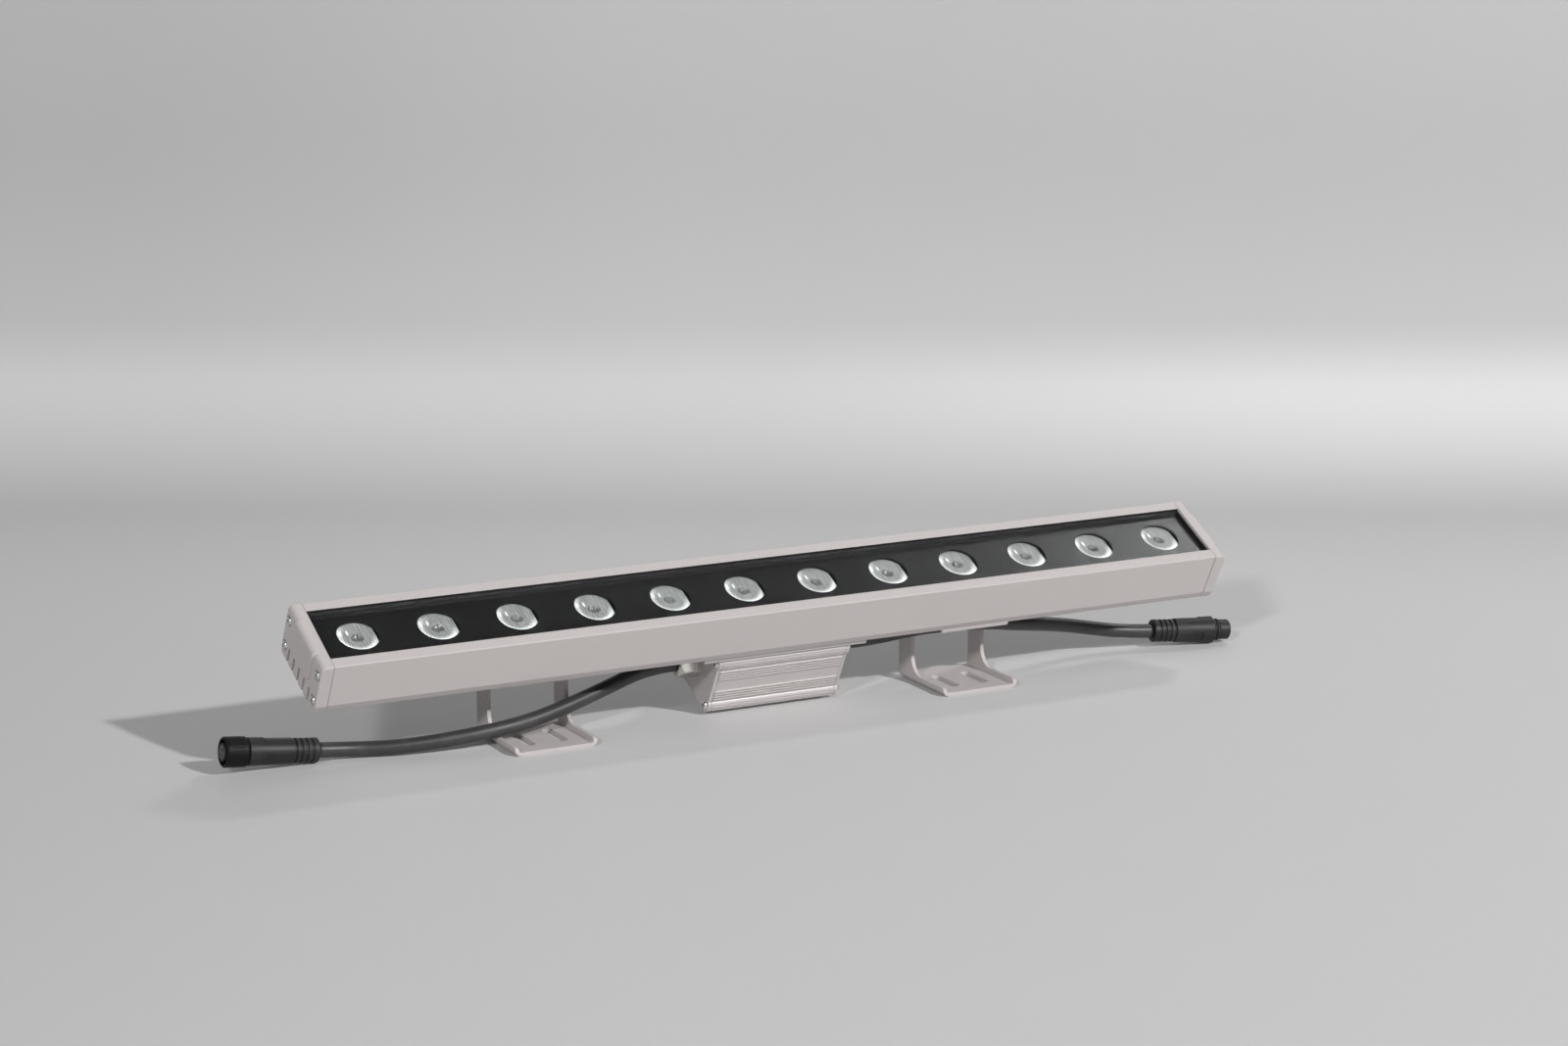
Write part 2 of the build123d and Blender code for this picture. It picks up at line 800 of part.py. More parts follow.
def gland_body():
    """Right-hand gland body: thread through the end plate, hexagon outside and a spigot for the nut."""
    flange_end = box_end + gland_flange_length
    body = rod_x(gland_thread, box_end - gland_thread_length, box_end)
    body += hex_x(gland_flange_across, box_end, flange_end)
    body += rod_x(gland_spigot, flange_end, flange_end + gland_spigot_length)
    body -= rod_x(cable_diameter + 2 * gland_fit, 0, gland_face)
    return Pos(0, 0, box_middle) * body


def gland_nut():
    """Right-hand gland nut: hexagon that rounds off to the mouth round the lead."""
    start = box_end + gland_flange_length
    nut = hex_x(gland_nut_across, start, gland_face)
    dome = rod_x(gland_nut_dome, start, gland_face)
    nut &= fillet(dome.edges().sort_by(Axis.X)[-1], gland_nut_round + gland_nut_mouth)
    nut -= rod_x(cable_diameter + 2 * gland_fit, start - 1, gland_face + 1)
    nut -= rod_x(gland_spigot + 2 * gland_fit, start - 1, gland_face - gland_nut_mouth)
    return Pos(0, 0, box_middle) * nut


def gland_seals():
    start = box_end + gland_flange_length + gland_spigot_length
    ring = rod_x(gland_spigot, start, gland_face - gland_nut_mouth)
    ring -= rod_x(cable_diameter, start - 1, gland_face)
    return grouped(both_ends(Pos(0, 0, box_middle) * ring))


def cable_tails():
    tail = rod_x(cable_diameter, gland_face - tail_length, gland_face)
    return grouped(both_ends(Pos(0, 0, box_middle) * tail))


# Brackets and the carriers they pivot on

def bracket():
    """Bracket round x = 0: foot, two legs up to the pivot and low flanges along the foot."""
    half = leg_outer
    top = pivot_z + leg_width
    channel = Pos(0, top / 2) * Rectangle(2 * half, top)
    channel = fillet(channel.vertices().group_by(Axis.Y)[0], bracket_bend + bracket_sheet)
    hollow = Pos(0, bracket_sheet + top / 2) * Rectangle(2 * leg_inner, top)
    hollow = fillet(hollow.vertices().group_by(Axis.Y)[0], bracket_bend)
    back = pivot_y + leg_width / 2
    front = back - foot_depth
    bent = Pos(0, back, 0) * extrude(Plane.XZ * (channel - hollow), foot_depth)
    leg_front = back - leg_width
    side = make_face(Polyline(
        (back, 0), (back, pivot_z), (leg_front, pivot_z), (leg_front, side_flange_height),
        (front, side_flange_height), (front, 0), close=True))
    inner_corner = [v for v in side.vertices()
                    if abs(v.X - leg_front) < 0.01 and abs(v.Y - side_flange_height) < 0.01]
    side = fillet(inner_corner, leg_sweep)
    outer_corners = [v for v in side.vertices() if v.Y < 0.01 and v.X > front + 0.01
                     or v.X < front + 0.01 and v.Y > 0.01]
    side = fillet(outer_corners, side_corner)
    side += Pos(pivot_y, pivot_z) * Circle(leg_width / 2)
    shape = bent & run_x(side, 2 * half)
    shape -= rod_x(bolt_hole, -half - 1, half + 1, pivot_y, pivot_z)
    for x in (-slot_spacing / 2, slot_spacing / 2):
        slot = Rot(0, 0, 90) * SlotOverall(slot_length, slot_width)
        shape -= Pos(x, front + slot_setback, 0) * extrude(slot, 2 * bracket_sheet, both=True)
    return shape


def carrier(front):
    """Carrier round x = 0 in the upright head: plate under the fins with two lugs down to the pivot."""
    low = plate_top - carrier_thickness
    plate = block((-carrier_length / 2, carrier_length / 2), (-front, carrier_back), (low, plate_top))
    plate = chamfer(plate.edges().group_by(Axis.Z)[0], carrier_edge)
    lug = make_face(Polyline(
        (pivot_back - lug_root / 2, low), (pivot_back + lug_root / 2, low),
        (pivot_back + lug_radius, -pivot_drop),
        (pivot_back - lug_radius, -pivot_drop), close=True))
    lug += Pos(pivot_back, -pivot_drop) * Circle(lug_radius)
    lug += Pos(pivot_back, low + carrier_edge) * Rectangle(lug_root, 2 * carrier_edge)
    for start in (-lug_outer, lug_inner):
        plate += Pos(start, 0, 0) * extrude(Plane.YZ * lug, lug_thickness, dir=(1, 0, 0))
    plate -= rod_x(bolt_hole, -carrier_length, carrier_length, pivot_back, -pivot_drop)
    for side in (-1, 1):
        plate -= rod_z(plate_screw_shank + 2 * screw_fit, low - 1, plate_top + 1,
                       side * carrier_screw_x, -fin_y)
    return plate


def carrier_screws():
    upright = Rot(180, 0, 0) * plate_screw()
    return grouped(Pos(x, y, plate_top - carrier_thickness) * upright for x, y in carrier_screw_places())


def at_pivots(shape):
    """A right-hand pivot piece on both sides of both brackets, in the upright head."""
    copies = []
    for centre in (bracket_left_x, bracket_right_x):
        for piece in both_ends(shape):
            copies.append(Pos(centre, pivot_back, -pivot_drop) * piece)
    return grouped(copies)


def pivot_bolts():
    end = lug_inner - pivot_nut_height - pivot_bolt_end
    bolt = rod_x(pivot_bolt, end, bolt_head_inner)
    return at_pivots(bolt + hex_x(pivot_head_across, bolt_head_inner, bolt_head_inner + pivot_head_height))


def pivot_washers():
    disc = rod_x(pivot_washer, washer_inner, bolt_head_inner)
    return at_pivots(disc - rod_x(bolt_hole, 0, 2 * bolt_head_inner))


def pivot_nuts():
    nut = hex_x(pivot_head_across, lug_inner - pivot_nut_height, lug_inner)
    return at_pivots(nut - rod_x(bolt_hole, 0, lug_outer))


# Connectors, drawn along X from the rear end where the lead enters

def boot():
    """Ribbed strain relief at the rear of a connector, with a wider collar where the lead enters."""
    shape = rod_x(boot_core, 0, boot_length)
    pitch = boot_rib_width + boot_groove
    spans = [(0, boot_collar)]
    for index in range(boot_rib_count):
        start = boot_collar + boot_groove + index * pitch
        spans.append((start, start + boot_rib_width))
    for start, end in spans:
        rib = rod_x(boot_diameter, start, end)
        shape += fillet(rib.edges().filter_by(GeomType.CIRCLE), boot_round)
    return shape


def flats(diameter, turn):
    """Grip flats at even turns round a shell: they run out at the boot and have a rounded front end."""
    half_width = shell_flat_width / 2
    cut = block((0, boot_length + shell_flat_length), (-half_width, half_width),
                (diameter / 2 - shell_flat_depth, diameter))
    cut = fillet(cut.edges().filter_by(Axis.Z).group_by(Axis.X)[-1], shell_flat_corner)
    return [Rot(turn + 360 * index / shell_flat_count, 0, 0) * cut for index in range(shell_flat_count)]


def contact_places():
    turns = [math.tau * (index + 0.5) / contact_count for index in range(contact_count)]
    return [(contact_circle / 2 * math.cos(turn), contact_circle / 2 * math.sin(turn)) for turn in turns]


def connector_left():
    """Socket connector: boot, shell with grip flats, neck and keeper for the ring, and the spigot."""
    shell = taper_x(shell_rear_diameter, shell_diameter, boot_length, shell_end)
    shell = fillet(shell.edges().filter_by(GeomType.CIRCLE), shell_edge)
    shape = boot() + (shell - flats(shell_diameter, left_flat_turn))
    shape += rod_x(neck_diameter, shell_end, neck_end)
    shape += rod_x(keeper_diameter, neck_end, neck_end + keeper_length)
    spigot = rod_x(spigot_diameter, neck_end, spigot_end)
    shape += chamfer(spigot.edges().filter_by(GeomType.CIRCLE).sort_by(Axis.X)[-1], spigot_edge)
    return shape - rod_x(insert_diameter + 2 * insert_fit, spigot_end - insert_depth, spigot_end + 1)


def coupling_ring():
    """Ring that turns on the neck, with a grip of shallow flutes and an open mouth."""
    ring = rod_x(ring_diameter, ring_start, ring_end)
    ring = fillet(ring.edges().filter_by(GeomType.CIRCLE), ring_edge)
    ring -= rod_x(ring_bore, ring_start + ring_flange, ring_end + 1)
    ring -= rod_x(neck_diameter + 2 * ring_play, ring_start - 1, ring_end)
    grip_start = ring_start + (ring_length - ring_grip_length) / 2
    radius = ring_diameter / 2
    flute = block((grip_start, grip_start + ring_grip_length), (-ring_grip_width / 2, ring_grip_width / 2),
                  (radius - ring_grip_depth, radius + 1))
    return ring - [Rot(360 * index / ring_grip_count, 0, 0) * flute for index in range(ring_grip_count)]


def socket_insert():
    plug = rod_x(insert_diameter, spigot_end - insert_depth, spigot_end)
    for y, z in contact_places():
        plug -= rod_x(contact_diameter + 2 * insert_fit, spigot_end - contact_length, spigot_end + 1, y, z)
    return plug


def socket_contacts():
    sleeves = []
    for y, z in contact_places():
        sleeve = rod_x(contact_diameter, spigot_end - contact_length, spigot_end - contact_recess, y, z)
        sleeves.append(sleeve - rod_x(contact_bore, spigot_end - contact_length / 2, spigot_end + 1, y, z))
    return grouped(sleeves)


def connector_right():
    """Plug connector: boot, shell with grip flats, and a hollow nose with a groove for its seal ring."""
    shell = taper_x(shell_rear_diameter, nose_shell_diameter, boot_length, shell_end)
    shell = chamfer(shell.edges().filter_by(GeomType.CIRCLE).sort_by(Axis.X)[-1], nose_shell_edge)
    shell = fillet(shell.edges().filter_by(GeomType.CIRCLE).sort_by(Axis.X)[0], shell_edge)
    nose = rod_x(nose_diameter, shell_end, nose_end)
    nose = fillet(nose.edges().filter_by(GeomType.CIRCLE).sort_by(Axis.X)[-1], nose_edge)
    groove = (oring_middle - oring_groove_width / 2, oring_middle + oring_groove_width / 2)
    nose -= rod_x(nose_diameter + 1, *groove) - rod_x(oring_seat, *groove)
    shape = boot() + (shell - flats(nose_shell_diameter, right_flat_turn)) + nose
    return shape - rod_x(spigot_diameter + 2 * nose_mate_gap, nose_bore_start, nose_end + 1)


def connector_oring():
    ring = Torus((oring_seat + oring_section) / 2 + insert_fit, oring_section / 2)
    return Pos(oring_middle, 0, 0) * Rot(0, 90, 0) * ring


def pin_insert():
    """Disc at the bottom of the plug's nose that carries the pins."""
    bore = spigot_diameter + 2 * nose_mate_gap
    return rod_x(bore - 2 * insert_fit, nose_bore_start, nose_bore_start + pin_disc)


def pin_contacts():
    start = nose_bore_start + pin_disc
    return grouped(rod_x(contact_bore, start, nose_end - pin_setback, y, z) for y, z in contact_places())


# Free leads

def corner_radii(points):
    """Largest even arc for each corner: 0.45 of the shorter run over the tangent of half the turn."""
    corners = [Vector(*point) for point in points]
    radii = []
    for before, here, after in zip(corners, corners[1:], corners[2:]):
        turn = math.radians((here - before).get_angle(after - here))
        shorter = min((here - before).length, (after - here).length)
        radii.append(0.45 * shorter / math.tan(turn / 2))
    return radii


def free_lead(name, points):
    """Round lead of straight runs joined by tangent arcs; prints its arc radii, length and volume share."""
    radii = corner_radii(points)
    route = FilletPolyline(*points, radius=radii)
    start = Plane(origin=route @ 0, z_dir=route % 0)
    tube = sweep(start * Circle(cable_diameter / 2), route)
    share = tube.volume / (math.pi * cable_diameter**2 / 4 * route.length)
    print(name, "radii", [round(radius, 1) for radius in radii], "length", round(route.length, 1),
          "volume share", round(share, 4))
    return tube


def lead_points(side, middle, place):
    """Route straight out of a gland face, through the chosen points and straight into the connector."""
    start = (side * gland_face, gland_y, gland_z)
    out = (side * (gland_face + gland_run), gland_y, gland_z)
    entry = place * Pos(-last_run, 0, 0)
    end = place.position
    return [start, out, *middle, tuple(entry.position), tuple(end)]


def left_right(shape, stem, nodes):
    """Adds a right-hand head piece and its mirror image as two nodes."""
    left, right = both_ends(shape)
    nodes[stem + "_left"] = head_place * left
    nodes[stem + "_right"] = head_place * right


def build_nodes():
    nodes = {}
    head = {
        "housing": housing(),
        "cap_gaskets": grouped(both_ends(Pos(body_length / 2, 0, 0) * cap_gasket())),
        "cap_screws": cap_screws(),
        "front_glass": front_glass(),
        "glass_seal": glass_seal(),
        "lens_mask": lens_mask(),
        "lens_holders": grouped(Pos(x, 0, 0) * lens_holder() for x in lens_xs),
        "led_board": led_board(),
        "led_packages": grouped(Pos(x, 0, 0) * led_package() for x in lens_xs),
        "board_screws": board_screws(),
        "box_mount_plate": box_mount_plate(),
        "plate_screws": plate_screws(),
        "box_shell": box_shell(),
        "box_gaskets": grouped(both_ends(box_gasket())),
        "box_end_screws": box_end_screws(),
        "driver_board": driver_board(),
        "driver_parts": driver_parts(),
        "lead_grommet": lead_grommet(),
        "board_leads": board_leads(),
        "supply_leads": supply_leads(),
        "gland_seals": gland_seals(),
        "cable_tails": cable_tails(),
        "carrier_left": Pos(bracket_left_x, 0, 0) * carrier(left_carrier_front),
        "carrier_right": Pos(bracket_right_x, 0, 0) * carrier(right_carrier_front),
        "carrier_screws": carrier_screws(),
        "pivot_bolts": pivot_bolts(),
        "pivot_washers": pivot_washers(),
        "pivot_nuts": pivot_nuts(),
    }
    one_lens = lens()
    for index, x in enumerate(lens_xs, start=1):
        head[f"lens_{index:02d}"] = Pos(x, 0, 0) * one_lens
    for name, shape in head.items():
        nodes[name] = head_place * shape
    left_right(Pos(cap_inner, 0, 0) * end_cap(), "end_cap", nodes)
    left_right(box_end_plate(), "box_end_plate", nodes)
    left_right(gland_body(), "gland_body", nodes)
    left_right(gland_nut(), "gland_nut", nodes)
    nodes["bracket_left"] = Pos(bracket_left_x, 0, 0) * bracket()
    nodes["bracket_right"] = Pos(bracket_right_x, 0, 0) * bracket()
    nodes["cable_left"] = free_lead("cable_left", lead_points(-1, left_route, left_place))
    nodes["cable_right"] = free_lead("cable_right", lead_points(1, right_route, right_place))
    nodes["connector_left"] = left_place * connector_left()
    nodes["coupling_ring"] = left_place * coupling_ring()
    nodes["socket_insert"] = left_place * socket_insert()
    nodes["socket_contacts"] = left_place * socket_contacts()
    nodes["connector_right"] = right_place * connector_right()
    nodes["connector_oring"] = right_place * connector_oring()
    nodes["pin_insert"] = right_place * pin_insert()
    nodes["pin_contacts"] = right_place * pin_contacts()
    return nodes


def main():
    os.makedirs("parts", exist_ok=True)
    for name, shape in build_nodes().items():
        export_step(shape, f"parts/{name}.step")
    print("pivot y z", round(pivot_y, 3), round(pivot_z, 3), "travel", tilt_travel)
    ring_ends = [(left_place * Pos(x, 0, 0)).position for x in (ring_start, ring_end)]
    print("ring axis ends", [tuple(round(value, 3) for value in end) for end in ring_ends])
    nose_ends = [(right_place * Pos(x, 0, 0)).position for x in (shell_end, nose_end)]
    print("nose axis ends", [tuple(round(value, 3) for value in end) for end in nose_ends])


main()
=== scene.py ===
import math

import bpy
import numpy as np
from mathutils import Matrix, Vector


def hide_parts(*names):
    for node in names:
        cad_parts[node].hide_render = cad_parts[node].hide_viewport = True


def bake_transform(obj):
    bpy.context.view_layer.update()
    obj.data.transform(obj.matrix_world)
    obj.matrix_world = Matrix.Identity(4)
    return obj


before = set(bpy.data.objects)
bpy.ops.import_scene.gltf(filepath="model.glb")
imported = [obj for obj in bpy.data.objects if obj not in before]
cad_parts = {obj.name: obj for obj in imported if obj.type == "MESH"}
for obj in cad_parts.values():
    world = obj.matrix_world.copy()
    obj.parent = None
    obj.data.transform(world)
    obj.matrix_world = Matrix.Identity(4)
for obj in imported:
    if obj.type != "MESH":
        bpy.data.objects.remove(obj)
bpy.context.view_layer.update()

bl_info = {
    "name": "Linear wall washer light",
    "version": (1, 0, 0),
    "blender": (4, 5, 0),
    "location": "3D View > Sidebar > Wall washer",
    "description": "Dresses a twelve-lens wall washer light with its finishes, leads and studio",
    "category": "Object",
}

# Y and Z of the middle of the bar's rim plane, in metres, and the tilt of that plane about X
head_place = (-0.01382, 0.068256)
head_tilt = math.radians(27.3)

# Lenses and window of the bar, in millimetres along the bar and back along its face
lens_pitch = 40.6
lens_rib_pitch = 1.24
# Radii in millimetres over which the painted highlight on each lens's rim rises
highlight_rim_radii = (6.0, 9.6)
# Radii in millimetres of the dimple, whose back half gets painted shade
dimple_shade_radii = (3.2, 2.7)
# Two painted glints on each lens: their places across it, half width, place back along it and half length, in
# millimetres
glint_places = (-4.0, -7.3)
glint_half_width = 0.9
glint_back = 4.0
glint_half_length = 2.6
window_half = (244.0, 17.2)
# Depth below the rim, in millimetres, from which the walls of the window are coloured near black
dark_wall_drop = 0.15

# Routes of the two leads from gland to connector, in metres
left_route = (
    (-0.04875, 0.008287, 0.025424),
    (-0.06375, 0.008287, 0.025424),
    (-0.0865, 0.0052, 0.0192),
    (-0.110, 0.0002, 0.0140),
    (-0.1325, -0.0040, 0.0100),
    (-0.155, -0.0056, 0.0080),
    (-0.178, -0.0022, 0.0056),
    (-0.2005, 0.0024, 0.0041),
    (-0.22031, 0.00925, 0.004155),
    (-0.2372, 0.0091, 0.00605),
)
right_route = (
    (0.04875, 0.008287, 0.025424),
    (0.06375, 0.008287, 0.025424),
    (0.085, 0.0026, 0.0294),
    (0.107, 0.0004, 0.0298),
    (0.128, 0.0014, 0.0280),
    (0.147, 0.0046, 0.0243),
    (0.165, 0.0090, 0.0210),
    (0.183, 0.0132, 0.0173),
    (0.200, 0.0146, 0.0134),
    (0.21769, 0.01271, 0.009914),
    (0.2344, 0.0097, 0.009024),
)

# Lamps, in metres: the place of each and the side of its square, and the point that they face
key_place, key_size = (2.19, -5.16, 3.54), 0.24
fill_place, fill_size = (-4.56, -4.05, 3.03), 0.60
side_place, side_size = (2.31, 0.98, 2.45), 0.40
lamp_target = (0.0, 0.0, 0.04)

# Backdrop, in metres from the camera's foot: where it starts to turn up, its bend and top, and how far it reaches
sweep_start, sweep_radius, sweep_top = 2.25, 0.5, 0.9
sweep_reach, sweep_half_width = 6.0, 7.0

# Painted reflection and painted shade on the backdrop, in metres along its profile or across it
reflection_low, reflection_middle, reflection_high = 2.24, 2.446, 2.535
reflection_left, reflection_right = -0.1, 0.4
shade_low, shade_high = 2.42, 2.72
shade_right, shade_left = -0.05, -0.50

# Wider floor, just below the backdrop's foot
floor_half, floor_drop = 14.0, 0.0005


class WasherFinishes(bpy.types.PropertyGroup):
    """Colours of the lamp's finishes."""

    paint: bpy.props.FloatVectorProperty(
        name="Powder coat", description="Warm grey of the bar, caps and brackets",
        subtype="COLOR", size=3, min=0, max=1, default=(0.500, 0.462, 0.457))
    bare_metal: bpy.props.FloatVectorProperty(
        name="Bare aluminium", description="Raw extrusion of the driver box",
        subtype="COLOR", size=3, min=0, max=1, default=(0.560, 0.525, 0.520))
    stainless: bpy.props.FloatVectorProperty(
        name="Stainless", description="Screws, bolts and washers",
        subtype="COLOR", size=3, min=0, max=1, default=(0.80, 0.79, 0.78))
    plating: bpy.props.FloatVectorProperty(
        name="Gland plating", description="Nickel plate of the cable glands",
        subtype="COLOR", size=3, min=0, max=1, default=(0.66, 0.64, 0.60))
    sheath: bpy.props.FloatVectorProperty(
        name="Lead sheath", description="Black outer skin of the leads",
        subtype="COLOR", size=3, min=0, max=1, default=(0.030, 0.030, 0.030))
    shell_plastic: bpy.props.FloatVectorProperty(
        name="Connector shell", description="Dark moulded plastic of the connector bodies",
        subtype="COLOR", size=3, min=0, max=1, default=(0.013, 0.0127, 0.0127))
    ring_plastic: bpy.props.FloatVectorProperty(
        name="Coupling ring", description="Black plastic of the turning ring",
        subtype="COLOR", size=3, min=0, max=1, default=(0.004, 0.004, 0.004))
    mask: bpy.props.FloatVectorProperty(
        name="Mask", description="Black print behind the glass",
        subtype="COLOR", size=3, min=0, max=1, default=(0.004, 0.004, 0.004))


class WasherLeads(bpy.types.PropertyGroup):
    """Sizes of the two leads."""

    diameter: bpy.props.FloatProperty(
        name="Diameter", description="Outer diameter of a lead", default=0.0074, min=0.003, max=0.015,
        precision=4, unit="LENGTH")
    left_length: bpy.props.FloatProperty(
        name="Left length", description="Free length from gland to socket connector", default=0.1932,
        precision=4, unit="LENGTH")
    right_length: bpy.props.FloatProperty(
        name="Right length", description="Free length from gland to plug connector", default=0.1901,
        precision=4, unit="LENGTH")
    sides: bpy.props.IntProperty(
        name="Sides", description="Faces round a lead", default=40, min=12, max=96)


class WasherStudio(bpy.types.PropertyGroup):
    """Camera, lamps and floor."""

    floor: bpy.props.FloatVectorProperty(
        name="Floor", description="Pale grey of the floor and backdrop",
        subtype="COLOR", size=3, min=0, max=1, default=(0.603, 0.600, 0.598))
    camera_place: bpy.props.FloatVectorProperty(
        name="Camera place", description="Where the camera stands", subtype="XYZ", unit="LENGTH",
        size=3, default=(-0.8408, -1.5971, 0.5016))
    camera_yaw: bpy.props.FloatProperty(
        name="Camera yaw", description="Turn of the camera from +Y towards +X", subtype="ANGLE",
        default=math.radians(27.99))
    camera_pitch: bpy.props.FloatProperty(
        name="Camera pitch", description="How far the camera looks down", subtype="ANGLE",
        default=math.radians(12.735))
    camera_roll: bpy.props.FloatProperty(
        name="Camera roll", description="Turn of the camera round its own line of sight", subtype="ANGLE",
        default=math.radians(0.22))
    focal: bpy.props.FloatProperty(
        name="Focal length", description="Lens in millimetres on a sensor 36 mm wide", default=85.82,
        min=10, max=300)
    key_power: bpy.props.FloatProperty(
        name="Key lamp", description="Power of the lamp in front on the right, in watts", default=317.0)
    fill_power: bpy.props.FloatProperty(
        name="Fill lamp", description="Power of the lamp in front on the left, in watts", default=167.0)
    side_power: bpy.props.FloatProperty(
        name="Side lamp", description="Power of the lamp behind on the right, in watts", default=18.0)
    ambient: bpy.props.FloatProperty(
        name="Ambient", description="Strength of the room's own light", default=0.36)


# Node helpers

def add(tree, kind, sockets=None, **settings):
    """Adds a node, sets its options, and links or sets each of the inputs given by name or number."""
    made = tree.nodes.new(kind)
    for name, value in settings.items():
        setattr(made, name, value)
    for name, value in (sockets or {}).items():
        if isinstance(value, bpy.types.NodeSocket):
            tree.links.new(value, made.inputs[name])
        else:
            made.inputs[name].default_value = value
    return made


def math_node(tree, operation, *values, clamp=False):
    """Math node with its inputs in order; returns its output."""
    return add(tree, "ShaderNodeMath", dict(enumerate(values)), operation=operation, use_clamp=clamp).outputs[0]


def times(tree, *values):
    """Product of several values."""
    product = values[0]
    for value in values[1:]:
        product = math_node(tree, "MULTIPLY", product, value)
    return product


def plus(tree, *values):
    """Sum of several values."""
    total = values[0]
    for value in values[1:]:
        total = math_node(tree, "ADD", total, value)
    return total


def mix_colour(tree, share, first, second):
    """Blend of two colours by a share from 0 to 1; returns the colour."""
    sockets = {"Factor": share, 6: first, 7: second}
    return add(tree, "ShaderNodeMix", sockets, data_type="RGBA").outputs[2]


def noise(tree, coordinates, scale, detail=2.0, roughness=0.5):
    """Noise of about 1/scale metres; returns its value from 0 to 1."""
    sockets = {"Vector": coordinates, "Scale": scale, "Detail": detail, "Roughness": roughness}
    return add(tree, "ShaderNodeTexNoise", sockets).outputs["Fac"]


def stretched(tree, coordinates, scale):
    """Coordinates scaled by a different amount on each axis."""
    return add(tree, "ShaderNodeMapping", {"Vector": coordinates, "Scale": scale}).outputs["Vector"]


def toned(tree, colour, *changes):
    """Colour made lighter or darker by 1 plus the sum of the given changes."""
    sockets = {0: colour, "Scale": plus(tree, 1.0, *changes)}
    return add(tree, "ShaderNodeVectorMath", sockets, operation="SCALE").outputs[0]


def centred(tree, value, amount):
    """A value from 0 to 1 turned into a change of plus or minus half the amount."""
    return times(tree, math_node(tree, "SUBTRACT", value, 0.5), amount)


def rising(tree, value, low, high):
    """Smooth rise from 0 at low to 1 at high, or a fall where low is the larger."""
    sockets = {"Value": value, "From Min": low, "From Max": high}
    return add(tree, "ShaderNodeMapRange", sockets, interpolation_type="SMOOTHSTEP").outputs[0]


def strip(tree, value, middle, half_width):
    """Smooth strip: 1 at its middle and 0 from half its width on either side."""
    away = math_node(tree, "ABSOLUTE", math_node(tree, "SUBTRACT", value, middle))
    return rising(tree, away, half_width, 0.0)


def object_place(tree):
    """Place in the object's own frame, which is the frame of the whole lamp."""
    return add(tree, "ShaderNodeTexCoord").outputs["Object"]


def new_group(name, inputs, outputs):
    """Shader node group with sockets given as (label, kind, default) and (label, kind)."""
    tree = bpy.data.node_groups.new(name, "ShaderNodeTree")
    for label, kind, default in inputs:
        socket = tree.interface.new_socket(label, in_out="INPUT", socket_type="NodeSocket" + kind)
        if default is not None:
            socket.default_value = default
    for label, kind in outputs:
        tree.interface.new_socket(label, in_out="OUTPUT", socket_type="NodeSocket" + kind)
    return tree, tree.nodes.new("NodeGroupInput").outputs, tree.nodes.new("NodeGroupOutput")


def place_group(tree, group, **sockets):
    """Places a node group in a material; returns its outputs."""
    named = {label.replace("_", " ").capitalize(): value for label, value in sockets.items()}
    return add(tree, "ShaderNodeGroup", named, node_tree=group).outputs


def put_out(tree, output, **values):
    """Links values to a group's outputs."""
    for label, value in values.items():
        tree.links.new(value, output.inputs[label.capitalize()])


# Effects shared by several finishes

def coat_grain_group():
    """Fine orange peel and speckle of a sprayed or moulded skin, with a slow drift of tone."""
    tree, given, output = new_group(
        "Coat grain",
        [("Coordinates", "Vector", None), ("Colour", "Color", (0.5, 0.5, 0.5, 1)), ("Roughness", "Float", 0.5),
         ("Speckle", "Float", 0.06), ("Peel scale", "Float", 1100.0)],
        [("Colour", "Color"), ("Roughness", "Float"), ("Height", "Float")])
    fine_scale = times(tree, given["Peel scale"], 4.0)
    peel = noise(tree, given["Coordinates"], given["Peel scale"], 1.5)
    fine = noise(tree, given["Coordinates"], fine_scale, 2.0)
    drift = noise(tree, given["Coordinates"], 16.0, 3.0, 0.6)
    speckle = centred(tree, fine, given["Speckle"])
    slow = centred(tree, drift, given["Speckle"])
    rough_change = plus(tree, centred(tree, peel, 0.10), centred(tree, drift, 0.12))
    rough = math_node(tree, "ADD", given["Roughness"], rough_change, clamp=True)
    put_out(tree, output, colour=toned(tree, given["Colour"], speckle, slow), roughness=rough, height=peel)
    return tree


def edge_highlight_group():
    """Rounded normal and a painted highlight: a thin paler line along outer edges, broken up by noise."""
    tree, given, output = new_group(
        "Edge highlight",
        [("Coordinates", "Vector", None), ("Colour", "Color", (0.5, 0.5, 0.5, 1)),
         ("Edge colour", "Color", (0.8, 0.8, 0.8, 1)), ("Width", "Float", 0.0004), ("Amount", "Float", 0.5)],
        [("Colour", "Color"), ("Normal", "Vector")])
    rounded = add(tree, "ShaderNodeBevel", {"Radius": given["Width"]}, samples=4).outputs["Normal"]
    true_normal = add(tree, "ShaderNodeNewGeometry").outputs["Normal"]
    both = {0: rounded, 1: true_normal}
    along = add(tree, "ShaderNodeVectorMath", both, operation="DOT_PRODUCT").outputs["Value"]
    turned = math_node(tree, "MULTIPLY", math_node(tree, "SUBTRACT", 1.0, along), 6.0, clamp=True)
    broken = noise(tree, given["Coordinates"], 260.0, 3.0)
    # Painted highlight along outer edges
    edge_highlight = math_node(tree, "MULTIPLY", turned, times(tree, broken, given["Amount"]), clamp=True)
    colour = mix_colour(tree, edge_highlight, given["Colour"], given["Edge colour"])
    put_out(tree, output, colour=colour, normal=rounded)
    return tree


